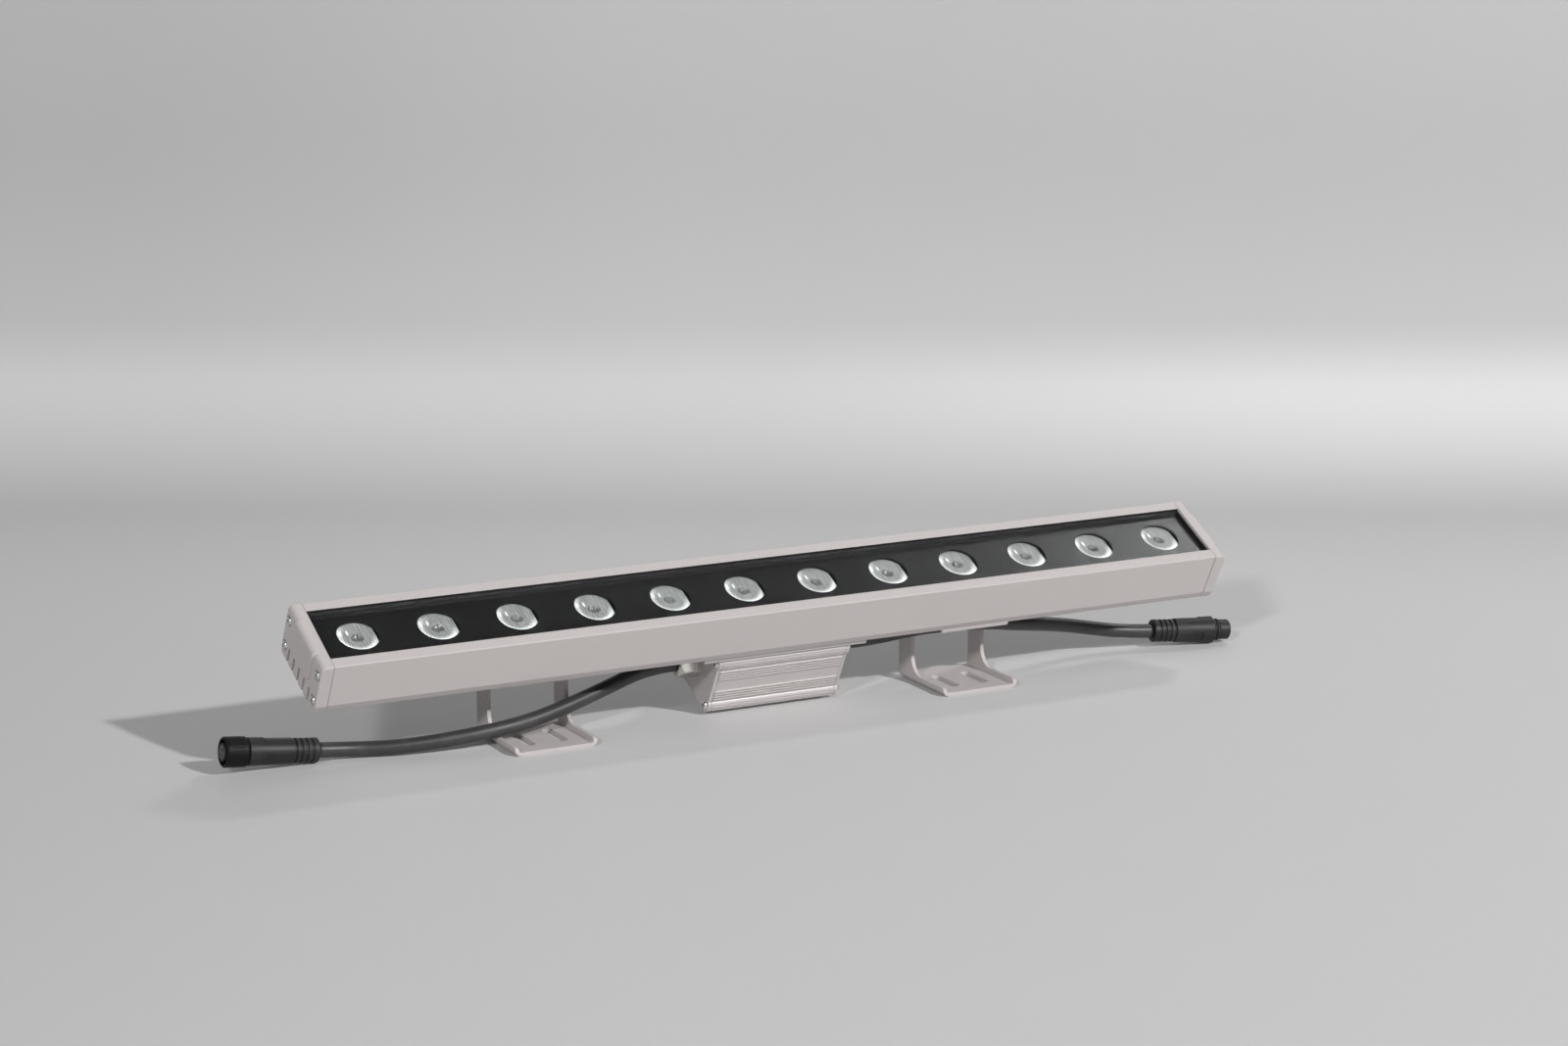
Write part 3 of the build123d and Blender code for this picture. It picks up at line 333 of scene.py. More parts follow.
def drawn_streaks_group():
    """Lines left by the die along X on drawn or rolled metal, in tone, roughness and height."""
    tree, given, output = new_group(
        "Drawn streaks",
        [("Coordinates", "Vector", None), ("Colour", "Color", (0.8, 0.8, 0.8, 1)), ("Roughness", "Float", 0.4),
         ("Strength", "Float", 0.2)],
        [("Colour", "Color"), ("Roughness", "Float"), ("Height", "Float")])
    lines = noise(tree, stretched(tree, given["Coordinates"], (5.0, 1400.0, 1400.0)), 1.0, 3.0, 0.6)
    bands = noise(tree, stretched(tree, given["Coordinates"], (3.0, 160.0, 160.0)), 1.0, 2.0)
    clouds = noise(tree, given["Coordinates"], 60.0, 3.0)
    tone = centred(tree, lines, given["Strength"])
    wide = centred(tree, bands, given["Strength"])
    rough_change = plus(tree, centred(tree, lines, 0.22), centred(tree, clouds, 0.16))
    rough = math_node(tree, "ADD", given["Roughness"], rough_change, clamp=True)
    put_out(tree, output, colour=toned(tree, given["Colour"], tone, wide), roughness=rough, height=lines)
    return tree


def handled_group():
    """Dust specks and faint rubbed patches on dark plastic and rubber."""
    tree, given, output = new_group(
        "Handled",
        [("Coordinates", "Vector", None), ("Colour", "Color", (0.02, 0.02, 0.02, 1)),
         ("Dust colour", "Color", (0.30, 0.29, 0.28, 1)), ("Roughness", "Float", 0.4), ("Amount", "Float", 0.1)],
        [("Colour", "Color"), ("Roughness", "Float")])
    specks = noise(tree, given["Coordinates"], 2600.0, 1.0)
    patches = noise(tree, given["Coordinates"], 75.0, 4.0, 0.62)
    sharp = add(tree, "ShaderNodeMapRange", {"Value": specks, "From Min": 0.66, "From Max": 0.74})
    rubbed = add(tree, "ShaderNodeMapRange", {"Value": patches, "From Min": 0.50, "From Max": 0.78})
    both = plus(tree, times(tree, sharp.outputs[0], 0.5), rubbed.outputs[0])
    share = math_node(tree, "MULTIPLY", both, given["Amount"], clamp=True)
    rough_change = plus(tree, centred(tree, patches, 0.18), times(tree, share, 0.5))
    rough = math_node(tree, "ADD", given["Roughness"], rough_change, clamp=True)
    put_out(tree, output, colour=mix_colour(tree, share, given["Colour"], given["Dust colour"]), roughness=rough)
    return tree


def shared(name, maker):
    """The shared effect of that name, made the first time it is asked for."""
    return bpy.data.node_groups.get(name) or maker()


# Finishes

def new_finish(name):
    """Material with one Principled shader; returns the material, its tree and the shader."""
    material = bpy.data.materials.new(name)
    material.use_nodes = True
    return material, material.node_tree, material.node_tree.nodes["Principled BSDF"]


def wire(tree, shader, **sockets):
    """Links values to the shader's inputs, named with underscores."""
    for name, value in sockets.items():
        tree.links.new(value, shader.inputs[name.replace("_", " ").title()])


def bump(tree, height, strength, distance, normal=None):
    """Normal that follows a height, on top of another normal where one is given."""
    sockets = {"Height": height, "Strength": strength, "Distance": distance}
    if normal is not None:
        sockets["Normal"] = normal
    return add(tree, "ShaderNodeBump", sockets).outputs["Normal"]


def opaque(colour):
    """Colour with full alpha."""
    return (*colour, 1.0)


def dark_window_walls(tree):
    """1 on the walls of the window below the rim, which are coloured near black."""
    _, along, back, out = head_frame(tree, 0.0)
    within = [math_node(tree, "LESS_THAN", math_node(tree, "ABSOLUTE", place), half)
              for place, half in zip((along, back), window_half)]
    return times(tree, *within, math_node(tree, "LESS_THAN", out, -dark_wall_drop))


def paint_finish(name, colour, peel_scale=1100.0, dark_walls=False):
    """Satin powder coat: orange peel, speckle and a painted highlight on its edges, with the walls of the bar's
    window coloured near black.
    """
    material, tree, shader = new_finish(name)
    place = object_place(tree)
    grain = place_group(tree, shared("Coat grain", coat_grain_group), coordinates=place, colour=opaque(colour),
                        roughness=0.56, speckle=0.07, peel_scale=peel_scale)
    # Painted highlight: a paler line along the edges
    edge_highlight_colour = opaque([min(1.0, part * 1.22) for part in colour])
    edge = place_group(tree, shared("Edge highlight", edge_highlight_group), coordinates=place, colour=grain["Colour"],
                       edge_colour=edge_highlight_colour, width=0.00045, amount=0.5)
    coat = edge["Colour"]
    # The walls of the window below the rim coloured near black
    if dark_walls:
        coat = mix_colour(tree, dark_window_walls(tree), coat, (0.006, 0.006, 0.006, 1.0))
    shader.inputs["Specular IOR Level"].default_value = 0.35
    wire(tree, shader, base_color=coat, roughness=grain["Roughness"],
         normal=bump(tree, grain["Height"], 0.10, 0.0002, edge["Normal"]))
    return material


def bare_finish(name, colour):
    """Raw drawn aluminium: die lines along the bar and a painted highlight on its edges."""
    material, tree, shader = new_finish(name)
    place = object_place(tree)
    streaks = place_group(tree, shared("Drawn streaks", drawn_streaks_group), coordinates=place,
                          colour=opaque(colour), roughness=0.44, strength=0.10)
    # Painted highlight: a paler line along the edges
    edge = place_group(tree, shared("Edge highlight", edge_highlight_group), coordinates=place, colour=streaks["Colour"],
                       edge_colour=(0.64, 0.61, 0.60, 1.0), width=0.0003, amount=0.3)
    shader.inputs["Metallic"].default_value = 0.3
    wire(tree, shader, base_color=edge["Colour"], roughness=streaks["Roughness"],
         normal=bump(tree, streaks["Height"], 0.12, 0.0001, edge["Normal"]))
    return material


def stainless_finish(name, colour):
    """Turned stainless steel with fine marks."""
    material, tree, shader = new_finish(name)
    place = object_place(tree)
    grain = place_group(tree, shared("Coat grain", coat_grain_group), coordinates=place, colour=opaque(colour),
                        roughness=0.24, speckle=0.10, peel_scale=1500.0)
    # Painted highlight: a paler line along the edges
    edge = place_group(tree, shared("Edge highlight", edge_highlight_group), coordinates=place, colour=grain["Colour"],
                       edge_colour=(0.86, 0.85, 0.84, 1.0), width=0.0002, amount=0.6)
    shader.inputs["Metallic"].default_value = 1.0
    wire(tree, shader, base_color=edge["Colour"], roughness=grain["Roughness"],
         normal=bump(tree, grain["Height"], 0.02, 0.0001, edge["Normal"]))
    return material


def moulded_finish(name, colour, roughness, dust, peel_scale=2200.0, peel=0.10, gloss=0.5):
    """Moulded plastic or rubber: fine skin texture, dust and rubbed patches."""
    material, tree, shader = new_finish(name)
    shader.inputs["Specular IOR Level"].default_value = gloss
    place = object_place(tree)
    handled = place_group(tree, shared("Handled", handled_group), coordinates=place, colour=opaque(colour),
                          roughness=roughness, amount=dust)
    grain = place_group(tree, shared("Coat grain", coat_grain_group), coordinates=place,
                        colour=handled["Colour"], roughness=handled["Roughness"], speckle=0.2,
                        peel_scale=peel_scale)
    # Painted highlight: a paler line along the edges
    edge = place_group(tree, shared("Edge highlight", edge_highlight_group), coordinates=place, colour=grain["Colour"],
                       edge_colour=opaque([min(1.0, part * 1.8) for part in colour]), width=0.00025, amount=0.5)
    wire(tree, shader, base_color=edge["Colour"], roughness=grain["Roughness"],
         normal=bump(tree, grain["Height"], peel, 0.0001, edge["Normal"]))
    return material


def sheath_finish(name, colour):
    """Black lead sheath: faint lines along its length, fine skin and rubbed patches."""
    material, tree, shader = new_finish(name)
    shader.inputs["Specular IOR Level"].default_value = 0.6
    place = object_place(tree)
    along = add(tree, "ShaderNodeUVMap", uv_map="Along").outputs["UV"]
    handled = place_group(tree, shared("Handled", handled_group), coordinates=place, colour=opaque(colour),
                          roughness=0.45, amount=0.10)
    grain = place_group(tree, shared("Coat grain", coat_grain_group), coordinates=place,
                        colour=handled["Colour"], roughness=handled["Roughness"], speckle=0.25,
                        peel_scale=1700.0)
    lines = noise(tree, stretched(tree, along, (14.0, 2600.0, 1.0)), 1.0, 2.0)
    waves = noise(tree, stretched(tree, along, (95.0, 60.0, 1.0)), 1.0, 1.0)
    skin = plus(tree, times(tree, grain["Height"], 0.35), times(tree, lines, 0.35), waves)
    wire(tree, shader, base_color=grain["Colour"], roughness=grain["Roughness"],
         normal=bump(tree, skin, 0.16, 0.00025))
    return material


def enamel_finish(name, colour):
    """Glossy black print with a faint unevenness of tone and gloss."""
    material, tree, shader = new_finish(name)
    place = object_place(tree)
    clouds = noise(tree, place, 40.0, 3.0)
    grain = noise(tree, place, 900.0, 2.0)
    rough = plus(tree, 0.25, centred(tree, clouds, 0.02), centred(tree, grain, 0.01))
    tone = toned(tree, tuple(colour), centred(tree, clouds, 0.3), centred(tree, grain, 0.2))
    wire(tree, shader, base_color=tone, roughness=rough)
    return material


def seen_through(material, tree, shader):
    """Lets lamps through a clear piece, so that they reach what is behind it."""
    path = add(tree, "ShaderNodeLightPath").outputs["Is Shadow Ray"]
    clear = add(tree, "ShaderNodeBsdfTransparent").outputs[0]
    both = add(tree, "ShaderNodeMixShader", {0: path, 1: shader.outputs[0], 2: clear})
    tree.links.new(both.outputs[0], tree.nodes["Material Output"].inputs["Surface"])
    return material


def clear_finish(name, colour, ior, roughness, smear):
    """Clear glass with faint smears that change its roughness."""
    material, tree, shader = new_finish(name)
    patches = noise(tree, object_place(tree), 90.0, 4.0, 0.6)
    rough = plus(tree, roughness, times(tree, patches, smear))
    shader.inputs["Base Color"].default_value = opaque(colour)
    shader.inputs["IOR"].default_value = ior
    shader.inputs["Transmission Weight"].default_value = 1.0
    wire(tree, shader, roughness=rough)
    return seen_through(material, tree, shader)


def head_frame(tree, middle_x):
    """Millimetres along the bar, back along its tilted face and out of that face, as one vector and as three."""
    sockets = {"Vector": object_place(tree), "Location": (middle_x, *head_place),
               "Rotation": (head_tilt, 0.0, 0.0), "Scale": (0.001, 0.001, 0.001)}
    turned = add(tree, "ShaderNodeMapping", sockets, vector_type="TEXTURE").outputs["Vector"]
    split = add(tree, "ShaderNodeSeparateXYZ", {0: turned}).outputs
    return turned, split["X"], split["Y"], split["Z"]


def lens_finish(name):
    """Ribbed moulding in tones painted on its face that stand in for the silvery cone inside it: painted shade in
    the valleys between its ribs, streaks along them, two painted glints, a painted highlight on the rim that is
    brightest at the front and on the left, and painted shade at the back of the dimple."""
    material, tree, shader = new_finish(name)
    half_pitch, half_rib = lens_pitch / 2, lens_rib_pitch / 2
    turned, along, back, _ = head_frame(tree, half_pitch / 1000)
    across = math_node(tree, "WRAP", along, half_pitch, -half_pitch)
    radius = math_node(tree, "SQRT", plus(tree, times(tree, across, across), times(tree, back, back)))
    rim = rising(tree, radius, *highlight_rim_radii)
    # Painted shade in the back half of the dimple
    dimple = times(tree, rising(tree, radius, *dimple_shade_radii), rising(tree, back, -2.2, 0.2))
    # Painted highlight on the rim, brightest at the front and on the left
    painted_front_light = plus(tree, rising(tree, back, 2.0, -8.5), times(tree, rising(tree, across, -3.0, -9.0), 0.6))
    # Painted shade in the valleys between the ribs
    ribs = math_node(tree, "PINGPONG", plus(tree, across, half_rib), half_rib)
    valley_shade = rising(tree, ribs, half_rib / 2, 0.0)
    # Painted glints: two bright strips on the left of each lens, towards its back
    painted_glints = plus(tree, *[strip(tree, across, place, glint_half_width) for place in glint_places])
    painted_glints = times(tree, painted_glints, strip(tree, back, glint_back, glint_half_length))
    streaks = noise(tree, stretched(tree, turned, (1.7, 0.09, 0.09)), 1.0, 2.0)
    tone = plus(tree, 0.215, centred(tree, streaks, 0.20), times(tree, rim, painted_front_light, 0.85), times(tree, painted_glints, 0.65))
    tone = times(tree, tone, math_node(tree, "SUBTRACT", 1.0, times(tree, valley_shade, 0.12)))
    tone = math_node(tree, "MAXIMUM", math_node(tree, "SUBTRACT", tone, times(tree, dimple, 0.13)), 0.02)
    shader.inputs["Specular IOR Level"].default_value = 1.0
    wire(tree, shader, base_color=toned(tree, (0.98, 1.0, 0.99), math_node(tree, "SUBTRACT", tone, 1.0)),
         roughness=plus(tree, 0.12, times(tree, streaks, 0.14)))
    return material


def dress(finish, *nodes):
    """Gives CAD nodes a finish in place of their plain one."""
    for name in nodes:
        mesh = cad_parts[name].data
        mesh.materials.clear()
        mesh.materials.append(finish)


# Surfaces

def route_line(name, points):
    """Smooth line along a route, from its first point to its last: NURBS of order 3 with the route's points as
    control points."""
    curve = bpy.data.curves.new(name, "CURVE")
    curve.dimensions = "3D"
    curve.resolution_u = 16
    spline = curve.splines.new("NURBS")
    spline.points.add(len(points) - 1)
    spline.points.foreach_set("co", np.column_stack([points, np.ones(len(points))]).ravel())
    spline.order_u = 3
    spline.use_endpoint_u = True
    holder = bpy.data.objects.new(name, curve)
    mesh = bpy.data.meshes.new_from_object(holder)
    line = np.empty(len(mesh.vertices) * 3)
    mesh.vertices.foreach_get("co", line)
    bpy.data.objects.remove(holder)
    bpy.data.curves.remove(curve)
    bpy.data.meshes.remove(mesh)
    return line.reshape(-1, 3)


def tube_mesh(name, line, radius, sides):
    """Closed round tube along a line. Ring points are the line's point plus radius times the cosine of the turn
    along the level side direction, plus radius times the sine along the direction square to it and to the line.
    Each end closes on a point in the middle. The UV map Along holds metres along and round the tube."""
    tangent = np.gradient(line, axis=0)
    tangent /= np.linalg.norm(tangent, axis=1, keepdims=True)
    side = np.cross(tangent, (0.0, 0.0, 1.0))
    side /= np.linalg.norm(side, axis=1, keepdims=True)
    upward = np.cross(side, tangent)
    turn = np.arange(sides) * math.tau / sides
    rings = (line[:, None] + radius * np.cos(turn)[None, :, None] * side[:, None]
             + radius * np.sin(turn)[None, :, None] * upward[:, None])
    count = len(line)
    ring, spoke = np.meshgrid(np.arange(count - 1), np.arange(sides), indexing="ij")
    after = (spoke + 1) % sides
    quads = np.stack([ring * sides + spoke, ring * sides + after, (ring + 1) * sides + after,
                      (ring + 1) * sides + spoke], -1).reshape(-1, 4)
    spokes = np.arange(sides)
    nexts = (spokes + 1) % sides
    first = np.stack([nexts, spokes, np.full(sides, count * sides)], -1)
    base = (count - 1) * sides
    last = np.stack([base + spokes, base + nexts, np.full(sides, count * sides + 1)], -1)
    points = np.concatenate([rings.reshape(-1, 3), line[:1], line[-1:]])
    mesh = bpy.data.meshes.new(name)
    mesh.from_pydata(points.tolist(), [], quads.tolist() + first.tolist() + last.tolist())
    run = np.concatenate([[0.0], np.cumsum(np.linalg.norm(np.diff(line, axis=0), axis=1))])
    step = radius * math.tau / sides
    near, far = run[ring], run[ring + 1]
    low, high = spoke * step, (spoke + 1) * step
    quad_uv = np.stack([np.stack([near, low], -1), np.stack([near, high], -1), np.stack([far, high], -1),
                        np.stack([far, low], -1)], -2).reshape(-1, 2)
    cap_uv = np.concatenate([np.full((3 * sides, 2), run[0]), np.full((3 * sides, 2), run[-1])])
    layer = mesh.uv_layers.new(name="Along")
    layer.data.foreach_set("uv", np.concatenate([quad_uv, cap_uv]).ravel())
    mesh.shade_smooth()
    mesh.update()
    return mesh


def grid_mesh(name, surface, metres):
    """Open sheet over a grid of points, one quad for each cell, with faces up for rows along X and columns along Y.
    The UV map Metres takes the given place of each point."""
    rows, columns = surface.shape[:2]
    row, column = np.meshgrid(np.arange(rows - 1), np.arange(columns - 1), indexing="ij")
    corner = row * columns + column
    quads = np.stack([corner, corner + columns, corner + columns + 1, corner + 1], -1).reshape(-1, 4)
    mesh = bpy.data.meshes.new(name)
    mesh.from_pydata(surface.reshape(-1, 3).tolist(), [], quads.tolist())
    layer = mesh.uv_layers.new(name="Metres")
    layer.data.foreach_set("uv", metres.reshape(-1, 2)[quads.ravel()].ravel())
    mesh.shade_smooth()
    mesh.update()
    return mesh


def shown(name, mesh, finish):
    """Object for a mesh, at the origin, with one finish."""
    mesh.materials.append(finish)
    piece = bpy.data.objects.new(name, mesh)
    bpy.context.scene.collection.objects.link(piece)
    return piece


# Operators

class WASHER_OT_bar(bpy.types.Operator):
    """Powder coat on the bar and its end caps, and rubber on the seals"""

    bl_idname = "washer.bar"
    bl_label = "Paint the bar"

    def execute(self, context):
        colours = context.scene.washer_finishes
        dress(paint_finish("Bar paint", colours.paint, dark_walls=True), "housing", "end_cap_left", "end_cap_right")
        dress(moulded_finish("Gasket rubber", (0.02, 0.02, 0.021), 0.62, 0.15, 900.0), "glass_seal",
              "lead_grommet", "gland_seals", "connector_oring")
        dress(moulded_finish("Grey gasket", (0.46, 0.425, 0.42), 0.62, 0.02, 900.0), "cap_gaskets", "box_gaskets")
        return {"FINISHED"}


class WASHER_OT_brackets(bpy.types.Operator):
    """Powder coat on the brackets and the carriers they pivot on"""

    bl_idname = "washer.brackets"
    bl_label = "Paint the brackets"

    def execute(self, context):
        colours = context.scene.washer_finishes
        dress(paint_finish("Bracket paint", colours.paint, 900.0), "bracket_left", "bracket_right",
              "carrier_left", "carrier_right")
        return {"FINISHED"}


class WASHER_OT_driver_box(bpy.types.Operator):
    """Raw aluminium on the driver box and its plate, and what is inside it"""

    bl_idname = "washer.driver_box"
    bl_label = "Finish the driver box"

    def execute(self, context):
        colours = context.scene.washer_finishes
        dress(bare_finish("Raw extrusion", colours.bare_metal), "box_shell", "box_mount_plate",
              "box_end_plate_left", "box_end_plate_right")
        dress(moulded_finish("Driver board", (0.02, 0.16, 0.07), 0.4, 0.05), "driver_board")
        dress(moulded_finish("Driver casing", (0.05, 0.05, 0.055), 0.45, 0.08), "driver_parts")
        dress(moulded_finish("Wire sleeve", (0.40, 0.04, 0.03), 0.45, 0.05), "board_leads", "supply_leads")
        return {"FINISHED"}


class WASHER_OT_light_engine(bpy.types.Operator):
    """Glass, mask, lenses, holders and light sources"""

    bl_idname = "washer.light_engine"
    bl_label = "Finish the light engine"

    def execute(self, context):
        colours = context.scene.washer_finishes
        lenses = [name for name in sorted(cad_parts) if name.startswith("lens_") and name[5:].isdigit()]
        dress(clear_finish("Front glass", (0.97, 0.985, 0.98), 1.3, 0.0, 0.02), "front_glass")
        dress(lens_finish("Lens plastic"), *lenses)
        dress(enamel_finish("Mask print", colours.mask), "lens_mask")
        dress(moulded_finish("Holder plastic", (0.004, 0.004, 0.004), 0.7, 0.0, peel=0.0, gloss=0.05),
              "lens_holders")
        dress(moulded_finish("Light board", (0.78, 0.78, 0.77), 0.35, 0.03), "led_board")
        dress(moulded_finish("Light source", (0.62, 0.60, 0.48), 0.25, 0.02), "led_packages")
        return {"FINISHED"}


class WASHER_OT_fasteners(bpy.types.Operator):
    """Stainless screws, bolts, washers and nuts"""

    bl_idname = "washer.fasteners"
    bl_label = "Finish the fasteners"

    def execute(self, context):
        colours = context.scene.washer_finishes
        dress(stainless_finish("Stainless screws", colours.stainless), "cap_screws", "board_screws",
              "plate_screws", "box_end_screws", "carrier_screws", "pivot_bolts", "pivot_washers", "pivot_nuts")
        return {"FINISHED"}


class WASHER_OT_connectors(bpy.types.Operator):
    """Plated glands, black plastic of the connectors, and their contacts"""

    bl_idname = "washer.connectors"
    bl_label = "Finish the connectors"

    def execute(self, context):
        colours = context.scene.washer_finishes
        dress(stainless_finish("Gland plating", colours.plating), "gland_body_left", "gland_body_right",
              "gland_nut_left", "gland_nut_right")
        dress(moulded_finish("Connector shell", colours.shell_plastic, 0.50, 0.06, gloss=0.4), "connector_left",
              "connector_right")
        dress(moulded_finish("Coupling ring", colours.ring_plastic, 0.50, 0.03, gloss=0.18), "coupling_ring")
        dress(moulded_finish("Contact insert", (0.045, 0.038, 0.045), 0.42, 0.08), "socket_insert", "pin_insert")
        dress(stainless_finish("Contact brass", (0.72, 0.52, 0.20)), "socket_contacts", "pin_contacts")
        return {"FINISHED"}


class WASHER_OT_leads(bpy.types.Operator):
    """Two black leads that lie from their glands to their connectors"""

    bl_idname = "washer.leads"
    bl_label = "Lay the leads"

    def execute(self, context):
        sizes = context.scene.washer_leads
        finish = sheath_finish("Lead sheath", context.scene.washer_finishes.sheath)
        dress(finish, "cable_tails")
        leads = (
            ("lead_left", "cable_left", left_route, sizes.left_length,
             ["connector_left", "coupling_ring", "socket_insert", "socket_contacts"]),
            ("lead_right", "cable_right", right_route, sizes.right_length,
             ["connector_right", "connector_oring", "pin_insert", "pin_contacts"]),
        )
        for name, node, route, length, on_it in leads:
            line = route_line(name + "_line", route)
            lead = shown(name, tube_mesh(name, line, sizes.diameter / 2, sizes.sides), finish)
            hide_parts(node)
            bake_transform(lead)
        return {"FINISHED"}


class WASHER_OT_studio(bpy.types.Operator):
    """Pale floor and backdrop, three lamps and the camera"""

    bl_idname = "washer.studio"
    bl_label = "Set up the studio"

    def execute(self, context):
        studio = context.scene.washer_studio
        lay_floor(studio)
        hang_lamps(studio)
        light_room(context.scene, studio)
        stand_camera(context.scene, studio)
        context.scene.view_settings.view_transform = "Standard"
        return {"FINISHED"}


# Studio

def vinyl(name, colour):
    """Pale vinyl, but for its colour; returns the material, its tree, the shader and a faintly mottled colour."""
    material, tree, shader = new_finish(name)
    grain = place_group(tree, shared("Coat grain", coat_grain_group), coordinates=object_place(tree),
                        colour=opaque(colour), roughness=0.55, speckle=0.015, peel_scale=500.0)
    shader.inputs["Specular IOR Level"].default_value = 0.3
    wire(tree, shader, roughness=grain["Roughness"])
    return material, tree, shader, grain["Colour"]


def floor_finish(name, colour):
    """Vinyl of one plain tone."""
    material, tree, shader, mottled = vinyl(name, colour)
    wire(tree, shader, base_color=mottled)
    return material


def sweep_finish(name, colour):
    """Vinyl with a painted reflection, paler in a band where the sweep turns up, and painted shade, darker high up
    and on the left. It can be seen through from behind."""
    material, tree, shader, mottled = vinyl(name, colour)
    spot = add(tree, "ShaderNodeUVMap", uv_map="Metres").outputs["UV"]
    split = add(tree, "ShaderNodeSeparateXYZ", {0: spot}).outputs
    across, run = split["X"], split["Y"]
    # Painted reflection: a paler band where the sweep turns up, deeper towards the right
    band = times(tree, rising(tree, run, reflection_low, reflection_middle), rising(tree, run, reflection_high, reflection_middle))
    depth = plus(tree, 0.17, times(tree, rising(tree, across, reflection_left, reflection_right), 0.17))
    # Painted shade: darker high up and on the left
    high = times(tree, rising(tree, run, shade_low, shade_high), -0.23)
    left = times(tree, rising(tree, across, shade_right, shade_left), -0.08)
    wire(tree, shader, base_color=toned(tree, mottled, times(tree, band, depth), high, left))
    behind = add(tree, "ShaderNodeNewGeometry").outputs["Backfacing"]
    clear = add(tree, "ShaderNodeBsdfTransparent").outputs[0]
    both = add(tree, "ShaderNodeMixShader", {0: behind, 1: shader.outputs[0], 2: clear})
    tree.links.new(both.outputs[0], tree.nodes["Material Output"].inputs["Surface"])
    return material


def lay_floor(studio):
    """Floor that sweeps up behind the lamp, square to the camera's line, and a wider floor just below it.
    The sweep's profile is flat up to its start, then a quarter circle, then upright. Its UV map holds metres
    across and along the profile."""
    turn = np.linspace(0.0, math.pi / 2, 40)
    flat_ahead = np.linspace(-sweep_reach, sweep_start, 12)[:-1]
    upright = np.linspace(sweep_radius, sweep_top, 7)[1:]
    ahead = np.concatenate([flat_ahead, sweep_start + sweep_radius * np.sin(turn),
                            np.full(len(upright), sweep_start + sweep_radius)])
    height = np.concatenate([np.zeros(len(flat_ahead)), sweep_radius * (1 - np.cos(turn)), upright])
    across = np.linspace(-sweep_half_width, sweep_half_width, 9)
    yaw = studio.camera_yaw
    right = np.array([math.cos(yaw), -math.sin(yaw), 0.0])
    forward = np.array([math.sin(yaw), math.cos(yaw), 0.0])
    foot = np.array([studio.camera_place[0], studio.camera_place[1], 0.0])
    surface = (foot + across[:, None, None] * right + ahead[None, :, None] * forward
               + height[None, :, None] * np.array([0.0, 0.0, 1.0]))
    steps_along = np.hypot(np.diff(ahead), np.diff(height))
    run = ahead[0] + np.concatenate([[0.0], np.cumsum(steps_along)])
    metres = np.stack(np.meshgrid(across, run, indexing="ij"), -1)
    sweep = shown("sweep", grid_mesh("sweep", surface, metres), sweep_finish("Sweep vinyl", studio.floor))
    span = np.linspace(-floor_half, floor_half, 5)
    flat = np.stack(np.meshgrid(span, span, [-floor_drop], indexing="ij"), -1)[:, :, 0]
    floor = shown("floor", grid_mesh("floor", flat, flat[..., :2]), floor_finish("Floor vinyl", studio.floor))


def hang_lamp(name, place, target, power, size):
    """Square soft lamp at a place, turned to its target."""
    data = bpy.data.lights.new(name, "AREA")
    data.size = size
    data.energy = power
    lamp = bpy.data.objects.new(name, data)
    lamp.location = place
    lamp.rotation_euler = (Vector(target) - Vector(place)).to_track_quat("-Z", "Y").to_euler()
    bpy.context.scene.collection.objects.link(lamp)


def hang_lamps(studio):
    """Key and fill lamps in front of the lamp, and a weak one behind it."""
    hang_lamp("key", key_place, lamp_target, studio.key_power, key_size)
    hang_lamp("fill", fill_place, lamp_target, studio.fill_power, fill_size)
    hang_lamp("side", side_place, lamp_target, studio.side_power, side_size)


def light_room(scene, studio):
    """Room light that is weaker overhead and near the horizon. The camera sees one even strength beyond the
    floor's edge."""
    world = bpy.data.worlds.new("Room")
    world.use_nodes = True
    scene.world = world
    tree = world.node_tree
    background = tree.nodes["Background"]
    background.inputs["Color"].default_value = (0.96, 0.97, 1.0, 1.0)
    direction = add(tree, "ShaderNodeTexCoord").outputs["Generated"]
    height = add(tree, "ShaderNodeSeparateXYZ", {0: direction}).outputs["Z"]
    share = math_node(tree, "SUBTRACT", times(tree, rising(tree, height, 0.0, 0.5), 0.65),
                      times(tree, rising(tree, height, 0.6, 0.85), 0.85))
    level = times(tree, plus(tree, 0.35, share), studio.ambient)
    seen = add(tree, "ShaderNodeLightPath").outputs["Is Camera Ray"]
    sockets = {"Value": seen, "To Min": level, "To Max": 0.6}
    strength = add(tree, "ShaderNodeMapRange", sockets).outputs[0]
    tree.links.new(strength, background.inputs["Strength"])


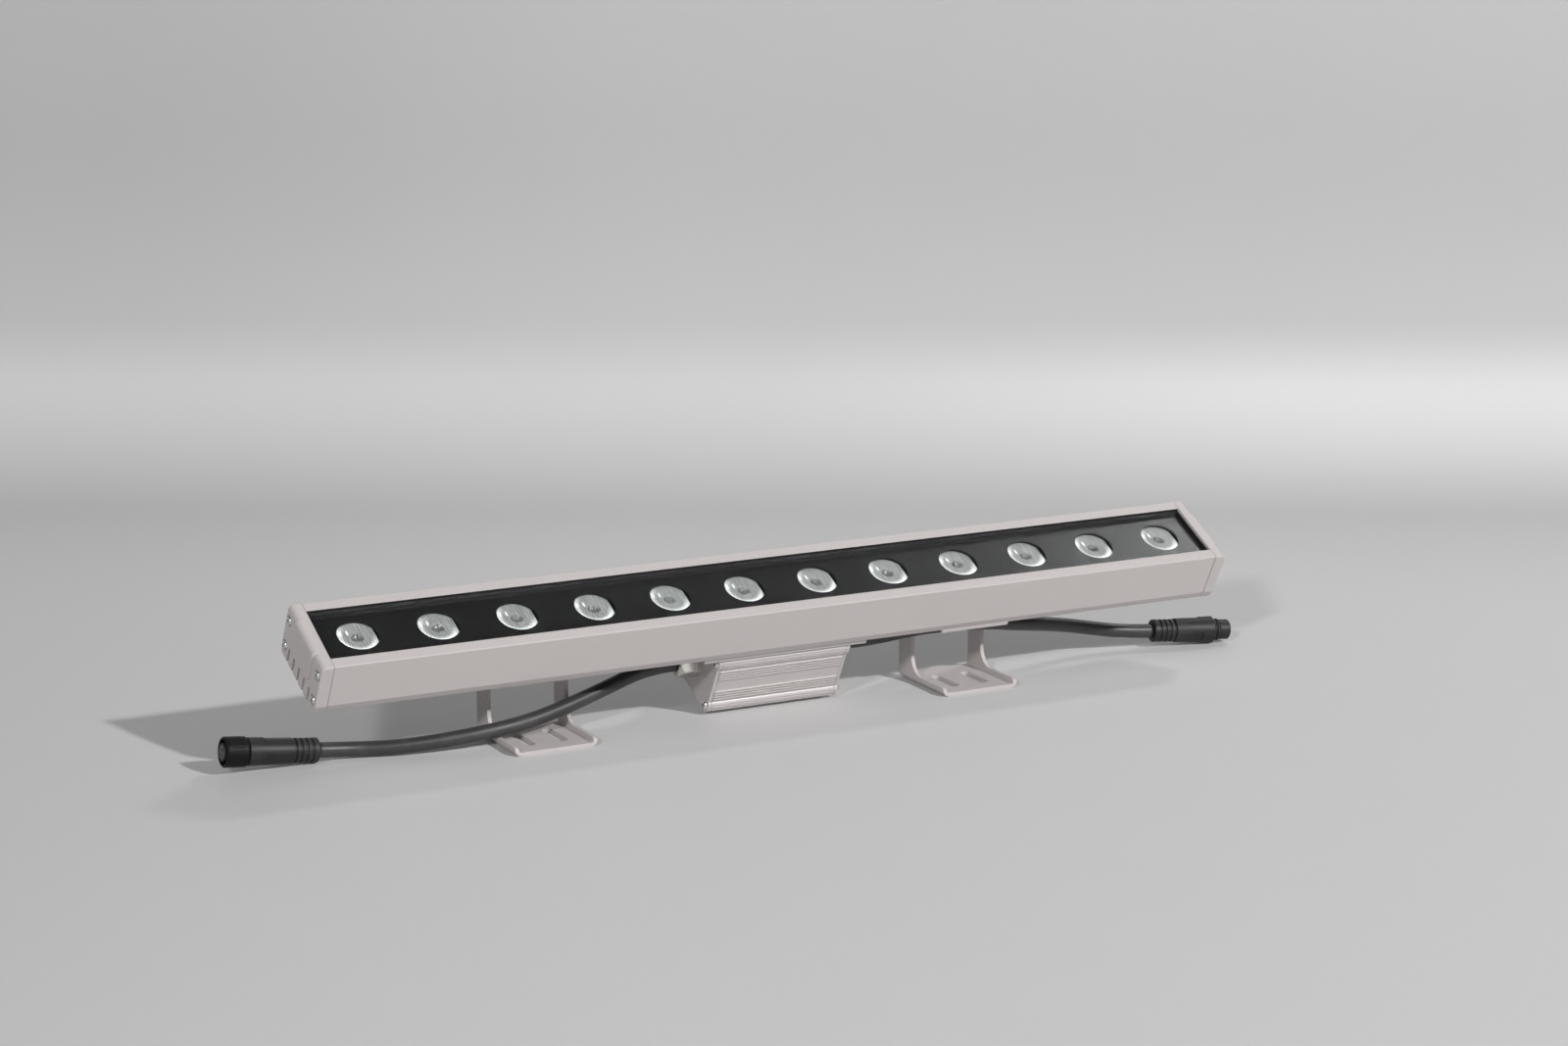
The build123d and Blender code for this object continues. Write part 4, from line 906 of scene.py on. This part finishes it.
def stand_camera(scene, studio):
    """Camera with its yaw, pitch and roll about its own place."""
    yaw, pitch, roll = studio.camera_yaw, studio.camera_pitch, studio.camera_roll
    forward = Vector((math.sin(yaw) * math.cos(pitch), math.cos(yaw) * math.cos(pitch), -math.sin(pitch)))
    level = Vector((math.cos(yaw), -math.sin(yaw), 0.0))
    rise = level.cross(forward)
    right = math.cos(roll) * level + math.sin(roll) * rise
    up = math.cos(roll) * rise - math.sin(roll) * level
    data = bpy.data.cameras.new("camera")
    data.lens = studio.focal
    data.sensor_width = 36.0
    data.clip_start, data.clip_end = 0.05, 60.0
    camera = bpy.data.objects.new("camera", data)
    turn = Matrix((right, up, -forward)).transposed()
    camera.matrix_world = Matrix.Translation(studio.camera_place) @ turn.to_4x4()
    scene.collection.objects.link(camera)
    scene.camera = camera


class WASHER_PT_panel(bpy.types.Panel):
    """Lists the lamp's finishes, leads and studio"""

    bl_idname = "WASHER_PT_panel"
    bl_label = "Wall washer"
    bl_space_type = "VIEW_3D"
    bl_region_type = "UI"
    bl_category = "Wall washer"

    def draw(self, context):
        for group in (context.scene.washer_finishes, context.scene.washer_leads, context.scene.washer_studio):
            box = self.layout.box()
            for name in group.__annotations__:
                box.prop(group, name)
        for step in steps:
            self.layout.operator(step.bl_idname)


groups = {"washer_finishes": WasherFinishes, "washer_leads": WasherLeads, "washer_studio": WasherStudio}
steps = (WASHER_OT_bar, WASHER_OT_brackets, WASHER_OT_driver_box, WASHER_OT_light_engine, WASHER_OT_fasteners,
         WASHER_OT_connectors, WASHER_OT_leads, WASHER_OT_studio)


def register():
    for item in (*groups.values(), *steps, WASHER_PT_panel):
        bpy.utils.register_class(item)
    for name, group in groups.items():
        setattr(bpy.types.Scene, name, bpy.props.PointerProperty(type=group))


def unregister():
    for name in groups:
        delattr(bpy.types.Scene, name)
    for item in reversed((*groups.values(), *steps, WASHER_PT_panel)):
        bpy.utils.unregister_class(item)


def main():
    register()
    bpy.ops.washer.bar()
    bpy.ops.washer.brackets()
    bpy.ops.washer.driver_box()
    bpy.ops.washer.light_engine()
    bpy.ops.washer.fasteners()
    bpy.ops.washer.connectors()
    bpy.ops.washer.leads()
    bpy.ops.washer.studio()


if __name__ == "__main__":
    main()
